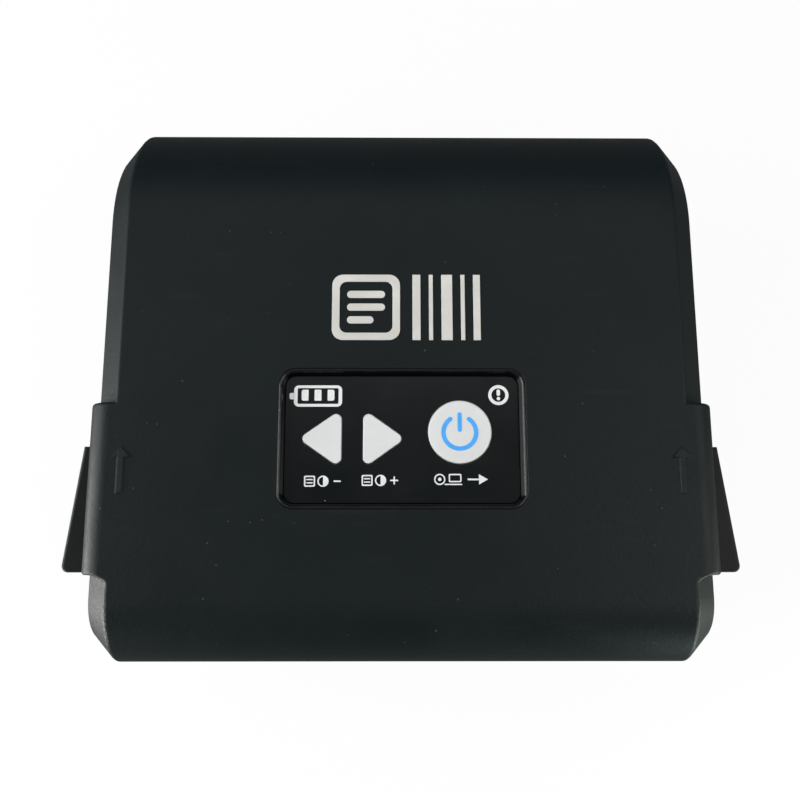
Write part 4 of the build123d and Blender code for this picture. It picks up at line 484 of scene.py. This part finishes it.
def battery_film():
    """Blue shrink film over the cells: long soft creases and a glossy face"""
    dark, light, edge = (0.018, 0.075, 0.2), (0.026, 0.1, 0.26), (0.05, 0.16, 0.36)
    crease_low, crease_high = 0.3, 0.7
    rough, depth = (0.22, 0.36), 0.12 * MM
    material, tree, shader = new_finish("battery_film", Coat_Weight=0.3, Coat_Roughness=0.15)
    creases = use(tree, "drawn_lines", Across_X=28.0, Across_Y=260.0, Across_Z=260.0)["Height"]
    cloud = use(tree, "slow_cloud", Scale=70.0)["Mask"]
    rim = use(tree, "rounded_edge", Radius=0.5 * MM)
    colour = blend_colour(tree, cloud, dark, light)
    tree.links.new(blend_colour(tree, rim["Edge"], colour, edge), shader["Base Color"])
    tree.links.new(stretch(tree, creases, crease_low, crease_high, *rough), shader["Roughness"])
    bump(tree, shader, creases, depth, rim["Normal"])
    return material


def panel_ink(name, full):
    """Screen-printed ink: slightly uneven coverage and a fine mesh in its surface"""
    thin = tuple(value * 0.9 for value in full)
    rough, depth = (0.38, 0.5), 0.003 * MM
    material, tree, shader = new_finish(name)
    cover = use(tree, "slow_cloud", Scale=700.0)["Mask"]
    tree.links.new(blend_colour(tree, cover, thin, full), shader["Base Color"])
    tree.links.new(stretch(tree, cover, 0, 1, *rough), shader["Roughness"])
    height = use(tree, "moulded_grain", Scale=9000.0)["Height"]
    bump(tree, shader, height, depth)
    return material


white_ink = panel_ink("white_ink", (0.86, 0.87, 0.86))
blue_ink = panel_ink("blue_ink", (0.07, 0.43, 1.0))
bezel_finish = polished_black(
    "polished_bezel", black=(0.0015, 0.002, 0.003), rough=(0.08, 0.14), edge_radius=0.7 * MM
)
finishes = {
    "case_black": soft_touch_case(),
    # The tab's edge colour, far paler than its body, is a painted highlight along its edges
    "tab_black": moulded_plastic(
        "tab_plastic", dark=(0.004, 0.0055, 0.005), light=(0.006, 0.0075, 0.0066), edge=(0.11, 0.12, 0.12),
        rough=(0.42, 0.52), grain=3000.0, depth=0.02 * MM, edge_radius=0.5 * MM, dust=0.2,
        Specular_IOR_Level=0.16,
    ),
    "panel_black": polished_black(
        "panel_lacquer", black=(0.0014, 0.0028, 0.0029), rough=(0.2, 0.28), edge_radius=0.1 * MM
    ),
    "key_white": key_resin(),
    "light_clear": light_pipe(),
    "inner_grey": moulded_plastic(
        "inner_plastic", dark=(0.04, 0.042, 0.045), light=(0.052, 0.054, 0.057), edge=(0.1, 0.104, 0.108),
        rough=(0.4, 0.52), grain=2600.0, depth=0.025 * MM, edge_radius=0.3 * MM, dust=0.15,
    ),
    "gear_white": gear_resin(),
    "steel": bare_metal(
        "turned_steel", dark=(0.42, 0.425, 0.43), light=(0.6, 0.605, 0.61), rough=(0.18, 0.3),
        lines=(2600, 260, 260), depth=0.004 * MM, edge_radius=0.15 * MM,
    ),
    "zinc_steel": bright_zinc(),
    "inlay_silver": inlay_silver(),
    "heat_sink": bare_metal(
        "drawn_aluminium", dark=(0.55, 0.56, 0.57), light=(0.72, 0.73, 0.74), rough=(0.3, 0.42),
        lines=(25, 3200, 3200), depth=0.006 * MM, edge_radius=0.2 * MM,
    ),
    "ceramic": head_glaze(),
    "brass": sintered_bronze(),
    "rubber": moulded_plastic(
        "foot_rubber", dark=(0.014, 0.014, 0.015), light=(0.024, 0.024, 0.025), edge=(0.05, 0.05, 0.05),
        rough=(0.68, 0.86), grain=1800.0, depth=0.04 * MM, edge_radius=0.3 * MM, dust=0.45,
        Specular_IOR_Level=0.25,
    ),
    "platen_rubber": ground_rubber(),
    "board_green": board_lacquer(),
    "chip_black": moulded_plastic(
        "chip_resin", dark=(0.012, 0.012, 0.013), light=(0.018, 0.018, 0.019), edge=(0.05, 0.05, 0.05),
        rough=(0.42, 0.56), grain=4200.0, depth=0.01 * MM, edge_radius=0.15 * MM,
    ),
    "battery_wrap": battery_film(),
}

# Each CAD material is named for its slot. Blender may have added a dot and a number to the name.
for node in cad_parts.values():
    for place in node.material_slots:
        place.material = finishes[place.material.name.split(".")[0]]
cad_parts["panel_bezel"].material_slots[0].material = bezel_finish


def new_piece(name, shape, finish):
    """Turns a mesh in the making into a piece with one finish"""
    bmesh.ops.recalc_face_normals(shape, faces=shape.faces)
    mesh = bpy.data.meshes.new(name)
    shape.to_mesh(mesh)
    shape.free()
    mesh.materials.append(finish)
    piece = bpy.data.objects.new(name, mesh)
    bpy.context.scene.collection.objects.link(piece)
    return piece


# Wound springs. They stand where the CAD has its own.


spring_wire = 0.5 * MM
steps_per_turn = 32
wire_sides = 12


def wind_coil(shape, seat, along, radius, turns, length):
    """Adds one spring's round wire to a mesh, which climbs from its seat in steady turns"""
    pitch = (length - spring_wire) / turns
    rings = []
    for step in range(turns * steps_per_turn + 1):
        turned = step / steps_per_turn
        out = Matrix.Rotation(math.tau * turned, 3, along) @ Vector((1, 0, 0))
        ahead = (along.cross(out) * radius + along * pitch / math.tau).normalized()
        centre = seat + out * radius + along * (spring_wire / 2 + pitch * turned)
        ring = []
        for side in range(wire_sides):
            offset = Matrix.Rotation(math.tau * side / wire_sides, 3, ahead) @ out * spring_wire / 2
            ring.append(shape.verts.new(centre + offset))
        rings.append(ring)
    for ring, after in zip(rings, rings[1:]):
        for side in range(wire_sides):
            beside = (side + 1) % wire_sides
            shape.faces.new((ring[side], ring[beside], after[beside], after[side])).smooth = True
    shape.faces.new(rings[0])
    shape.faces.new(rings[-1])


def sprung_coils(name, node, seats, along, radius, turns, length):
    """Springs in place of a node's own"""
    shape = bmesh.new()
    for seat in seats:
        wind_coil(shape, seat, along, radius, turns, length)
    piece = new_piece(name, shape, finishes["steel"])
    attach(piece, "base")
    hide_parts(node)
    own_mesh(piece)


def latch_spring_coils():
    """The latch's two springs, which lie along the case with their seats at the back"""
    radius = 2.2 * MM
    low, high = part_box("latch_springs")
    x, z = high.x - radius - spring_wire / 2, (low.z + high.z) / 2
    sprung_coils(
        "latch_spring_coils", "latch_springs", seats=[Vector((side * x, high.y, z)) for side in (-1, 1)],
        along=Vector((0, -1, 0)), radius=radius, turns=5, length=high.y - low.y,
    )


def head_spring_coils():
    """The print head's four springs, which stand under it at equal distances"""
    radius = 2.0 * MM
    low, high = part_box("head_springs")
    x, y = high.x - radius - spring_wire / 2, (low.y + high.y) / 2
    sprung_coils(
        "head_spring_coils", "head_springs",
        seats=[Vector((share * x, y, low.z)) for share in (-1, -1 / 3, 1 / 3, 1)],
        along=Vector((0, 0, 1)), radius=radius, turns=4, length=high.z - low.z,
    )


latch_spring_coils()
head_spring_coils()


# Outlines of the printed marks. From here to the studio, lengths are in millimetres and angles in degrees.


def polar(x, y, radius, turn):
    """The point at a radius and an angle from another"""
    return x + radius * math.cos(math.radians(turn)), y + radius * math.sin(math.radians(turn))


def arc(x, y, radius, start, end, steps=8):
    """Points of an arc in order, with both ends"""
    return [polar(x, y, radius, start + (end - start) * step / steps) for step in range(steps + 1)]


def circle(x, y, radius, steps=48):
    """Points of a whole circle"""
    return arc(x, y, radius, 0, 360, steps)[:-1]


def rounded_box(left, low, right, high, corner, left_corner=None):
    """Points of a rectangle with rounded corners, which may differ on the left"""
    near = corner if left_corner is None else left_corner
    points = arc(right - corner, high - corner, corner, 0, 90)
    points += arc(left + near, high - near, near, 90, 180)
    points += arc(left + near, low + near, near, 180, 270)
    points += arc(right - corner, low + corner, corner, 270, 360)
    return points


def stroke(start, end, width):
    """Outline of a straight stroke with round ends"""
    turn = math.degrees(math.atan2(end[1] - start[1], end[0] - start[0]))
    return arc(*end, width / 2, turn - 90, turn + 90) + arc(*start, width / 2, turn + 90, turn + 270)


def plus_sign(x, y, reach, width):
    """Outline of a plus whose four arms have round ends"""
    points = []
    for turn in (0, 90, 180, 270):
        tip = polar(x, y, reach - width / 2, turn)
        points += arc(*tip, width / 2, turn - 90, turn + 90)
        points.append(polar(x, y, width / math.sqrt(2), turn + 45))
    return points


def open_ring(x, y, radius, width, gap):
    """Outline of a ring's line that is open at the top, by an angle each side, with round ends"""
    start, end = 90 + gap, 450 - gap
    first, last = [polar(x, y, radius - width / 2, turn) for turn in (start, end)]
    points = arc(x, y, radius, start, end, 60)
    points += arc(*last, width / 2, end, end + 180)[1:-1]
    points += arc(x, y, radius - width, end, start, 60)
    points += arc(*first, width / 2, start + 180, start + 360)[1:-1]
    return points


def ring_band(x, y, radius, width):
    """Both outlines of a closed ring's line"""
    return circle(x, y, radius), circle(x, y, radius - width)


def frame_band(left, low, right, high, corner, side, edge):
    """Both outlines of a rounded rectangle's line. Its width is side left and right, edge low and high"""
    inner = rounded_box(left + side, low + edge, right - side, high - edge, max(corner - side, 0.1))
    return rounded_box(left, low, right, high, corner), inner


# Printed marks


ink_height = 0.03
panel_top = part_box("panel_plate")[1].z / MM


def layer(shape, outline, height):
    """Adds an outline's points to a mesh, at one height"""
    return [shape.verts.new((x * MM, y * MM, height * MM)) for x, y in outline]


def wall(shape, first, second, index):
    """Adds one face between two layers, from a point to the next"""
    after = (index + 1) % len(first)
    shape.faces.new((first[index], first[after], second[after], second[index]))


def add_patch(shape, outline, level):
    """Adds a filled outline to a mesh"""
    under, over = layer(shape, outline, level), layer(shape, outline, level + ink_height)
    shape.faces.new(under[::-1])
    shape.faces.new(over)
    for index in range(len(outline)):
        wall(shape, under, over, index)


def add_band(shape, outer, inner, level):
    """Adds the line between two outlines, which have as many points each, to a mesh"""
    over = level + ink_height
    edges = ((outer, level), (outer, over), (inner, over), (inner, level))
    rows = [layer(shape, outline, height) for outline, height in edges]
    for index in range(len(outer)):
        for first, second in zip(rows, rows[1:] + rows[:1]):
            wall(shape, first, second, index)


def printed_mark(name, patches, bands, level, ink, body):
    """A thin mark on a level face: patches are its filled outlines, and bands its lines"""
    shape = bmesh.new()
    for outline in patches:
        add_patch(shape, outline, level)
    for outer, inner in bands:
        add_band(shape, outer, inner, level)
    piece = new_piece(name, shape, ink)
    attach(piece, body)


def panel_mark(name, patches=(), bands=()):
    """White print on the key panel"""
    printed_mark(name, patches, bands, panel_top, white_ink, "lid")


def battery_mark():
    """A battery's outline with its pole at the left, and three bars of charge"""
    left, right, y, half_height = -21.39, -11.87, -6.92, 2.15
    pole = rounded_box(left - 0.9, y - 0.68, left - 0.06, y + 0.62, corner=0.12, left_corner=0.34)
    case = frame_band(left, y - half_height, right, y + half_height, corner=0.95, side=0.7, edge=0.56)
    panel_mark("battery_mark_frame", [pole], [case])
    bar_y, bar_half_width, bar_half_height = -6.76, 0.68, 1.115
    tight, wide = 0.14, 0.42
    for bar, x, right_corner, left_corner in (
        ("low", -19.21, tight, wide), ("middle", -16.65, tight, tight), ("high", -14.07, wide, tight),
    ):
        sides = (x - bar_half_width, bar_y - bar_half_height, x + bar_half_width, bar_y + bar_half_height)
        panel_mark(f"battery_mark_bar_{bar}", [rounded_box(*sides, right_corner, left_corner)])


def fault_mark():
    """A ring with an exclamation mark in it"""
    x, y = 19.14, -6.7
    panel_mark("fault_mark_ring", [], [ring_band(x, y, radius=2.02, width=0.65)])
    upright = stroke((x, y + 0.17), (x, y + 0.79), width=0.7)
    dot = circle(x, y - 0.71, radius=0.35, steps=20)
    panel_mark("fault_mark_sign", [upright, dot])


def darkness_mark(name, x, y, sign):
    """A label with two lines of print, a half-filled disc that stands for darkness, and its sign"""
    frame_width, disc_width, disc_radius = 0.28, 0.26, 1.1
    lines = [stroke((x - 3.05, y + rise), (x - 2.0, y + rise), width=0.24) for rise in (0.32, -0.32)]
    label = frame_band(x - 3.6, y - 1.08, x - 1.45, y + 1.08, 0.3, frame_width, frame_width)
    disc_x = x + 0.1
    dark_half = arc(disc_x, y, disc_radius - disc_width, -90, 90, steps=24)
    panel_mark(f"{name}_label", lines, [label])
    panel_mark(f"{name}_disc", [dark_half], [ring_band(disc_x, y, disc_radius, disc_width)])
    panel_mark(f"{name}_sign", [sign])


def darkness_marks():
    """The marks under the two three-cornered keys, with a minus for less and a plus for more"""
    sign_width = 0.3
    down_x, down_y = -15.49, -23.82
    up_x, up_y = -4.28, -23.66
    minus = stroke((down_x + 2.3, down_y), (down_x + 3.45, down_y), sign_width)
    plus = plus_sign(up_x + 2.75, up_y, reach=0.8, width=sign_width)
    darkness_mark("darkness_down_mark", down_x, down_y, minus)
    darkness_mark("darkness_up_mark", up_x, up_y, plus)


def feed_mark():
    """A roll, the paper that runs off it under a label, and an arrow"""
    x, y, width = 11.5, -23.46, 0.26
    roll_x, paper_y, paper_end = x - 4.15, y - 0.97, x + 0.1
    label = frame_band(roll_x + 1.75, y - 0.55, paper_end, y + 1.08, 0.25, width, width)
    panel_mark("feed_mark_roll", [circle(roll_x, y, 0.34, steps=20)], [ring_band(roll_x, y, 1.1, width)])
    panel_mark("feed_mark_paper", [stroke((roll_x + 1.05, paper_y), (paper_end, paper_y), width)])
    panel_mark("feed_mark_label", [], [label])
    tail, neck, tip = x + 1.3, x + 3.5, x + 5.25
    half_shaft, half_head = 0.17, 1.0
    panel_mark("feed_mark_arrow", [[
        (tail, y + half_shaft), (tail, y - half_shaft), (neck, y - half_shaft), (neck, y - half_head),
        (tip, y), (neck, y + half_head), (neck, y + half_shaft),
    ]])


def power_mark():
    """The open ring and bar of an on and off key, in blue on the round key"""
    low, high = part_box("power_key")
    key_x, key_y = (low.x + high.x) / 2 / MM, (low.y + high.y) / 2 / MM
    key_top = high.z / MM
    x, y = key_x - 0.02, key_y - 0.12
    ring = open_ring(x, y, radius=3.66, width=0.88, gap=34.6)
    bar = stroke((x, key_y + 0.38), (x, key_y + 3.48), width=0.84)
    for part, outline in (("ring", ring), ("bar", bar)):
        printed_mark(f"power_mark_{part}", [outline], [], key_top, blue_ink, "main_key")


battery_mark()
fault_mark()
darkness_marks()
feed_mark()
power_mark()


# Studio, in metres again


def floor_white():
    """Nearly white with the printer's shadow to the camera, dim in a reflection, and clear from below"""
    white_share, white_strength, mirrored_strength = 0.9, 1.04, 0.14
    material, tree = new_finish("floor_white", Base_Color=(0.5, 0.5, 0.5, 1), Roughness=0.9)[:2]
    path = put(tree, "LightPath").outputs
    direct = calculate(tree, "MAXIMUM", path["Is Camera Ray"], path["Is Transmission Ray"])
    strength = stretch(tree, direct, 0, 1, mirrored_strength, white_strength)
    white = put(tree, "Emission", {"Color": (1, 1, 1, 1), "Strength": strength}).outputs[0]
    seen = calculate(tree, "MAXIMUM", direct, path["Is Glossy Ray"])
    lit = tree.nodes["Principled BSDF"].outputs[0]
    above = put(tree, "MixShader", {0: times(tree, seen, white_share), 1: lit, 2: white}).outputs[0]
    clear = put(tree, "BsdfTransparent").outputs[0]
    below = put(tree, "NewGeometry").outputs["Backfacing"]
    whole = put(tree, "MixShader", {0: below, 1: above, 2: clear}).outputs[0]
    tree.links.new(whole, tree.nodes["Material Output"].inputs["Surface"])
    return material


def stage_floor():
    """A large plain floor just under the printer's feet"""
    reach, level = 12.0, -0.05 * MM
    mesh = bpy.data.meshes.new("floor")
    corners = [(x * reach, y * reach, level) for x, y in ((-1, -1), (1, -1), (1, 1), (-1, 1))]
    mesh.from_pydata(corners, [], [(0, 1, 2, 3)])
    mesh.materials.append(floor_white())
    floor = bpy.data.objects.new("floor", mesh)
    bpy.context.scene.collection.objects.link(floor)


def studio_world():
    """Plain dim surroundings, a little bluer behind the printer. The camera sees them white"""
    front, back, white = (0.08, 0.085, 0.09), (0.03, 0.055, 0.13), (1, 1, 1)
    mirrored_share = 0.06
    world = bpy.data.worlds.new("studio")
    bpy.context.scene.world = world
    world.use_nodes = True
    tree = world.node_tree
    direction = put(tree, "TexCoord").outputs["Generated"]
    backwards = put(tree, "SeparateXYZ", {"Vector": direction}).outputs["Y"]
    colour = blend_colour(tree, stretch(tree, backwards, 0.3, 0.9), front, back)
    path = put(tree, "LightPath").outputs
    direct = calculate(tree, "MAXIMUM", path["Is Camera Ray"], path["Is Transmission Ray"])
    mirrored = times(tree, path["Is Glossy Ray"], mirrored_share)
    seen = calculate(tree, "MAXIMUM", direct, mirrored)
    background = tree.nodes["Background"].inputs
    tree.links.new(blend_colour(tree, seen, colour, white), background["Color"])
    background["Strength"].default_value = 1.0


def soft_light(name, place, aim, width, height, watts, colour):
    """A soft box that faces a point"""
    light = bpy.data.lights.new(name, "AREA")
    light.shape = "RECTANGLE"
    light.size = width
    light.size_y = height
    light.energy = watts
    light.color = colour
    box = bpy.data.objects.new(name, light)
    box.location = place
    box.rotation_euler = (Vector(aim) - Vector(place)).to_track_quat("-Z", "Y").to_euler()
    bpy.context.scene.collection.objects.link(box)


def studio_lights():
    """Soft boxes at the left, right and back, and low strips for the sides and the front right corner"""
    middle, left_side, right_side = (0, 0, 0.06), (-0.06, -0.05, 0.03), (0.06, -0.03, 0.03)
    right_corner = (0.055, -0.058, 0.04)
    for name, place, aim, width, height, watts, colour in (
        ("left_window", (-0.6, -0.05, 0.34), middle, 0.5, 0.46, 5.2, (0.99, 0.99, 1.0)),
        ("right_box", (0.45, -0.1, 0.55), middle, 0.45, 0.45, 2.3, (1.0, 0.99, 0.96)),
        ("back_box", (0.0, 0.42, 0.75), middle, 0.9, 0.4, 1.5, (0.98, 0.99, 1.0)),
        ("left_strip", (-0.3, -0.13, 0.03), left_side, 0.26, 0.05, 1.6, (1.0, 0.98, 0.95)),
        ("right_strip", (0.3, -0.185, 0.03), right_side, 0.26, 0.05, 0.75, (0.96, 1.0, 0.88)),
        ("corner_strip", (0.13, -0.15, 0.03), right_corner, 0.05, 0.03, 0.06, (0.8, 0.91, 1.0)),
    ):
        soft_light(name, place, aim, width, height, watts, colour)


def photo_camera():
    """The camera where the photograph was taken: over the front part, tilted a little to the back"""
    lens = bpy.data.cameras.new("camera")
    lens.lens = 39.6
    lens.sensor_width = 36.0
    lens.clip_start = 0.01
    camera = bpy.data.objects.new("camera", lens)
    camera.location = (-0.0016, -0.04045, 0.23377)
    camera.rotation_euler = [math.radians(turn) for turn in (10.817, -0.4, -0.02)]
    bpy.context.scene.collection.objects.link(camera)
    bpy.context.scene.camera = camera


stage_floor()
studio_world()
studio_lights()
photo_camera()
bpy.context.scene.view_settings.view_transform = "Standard"
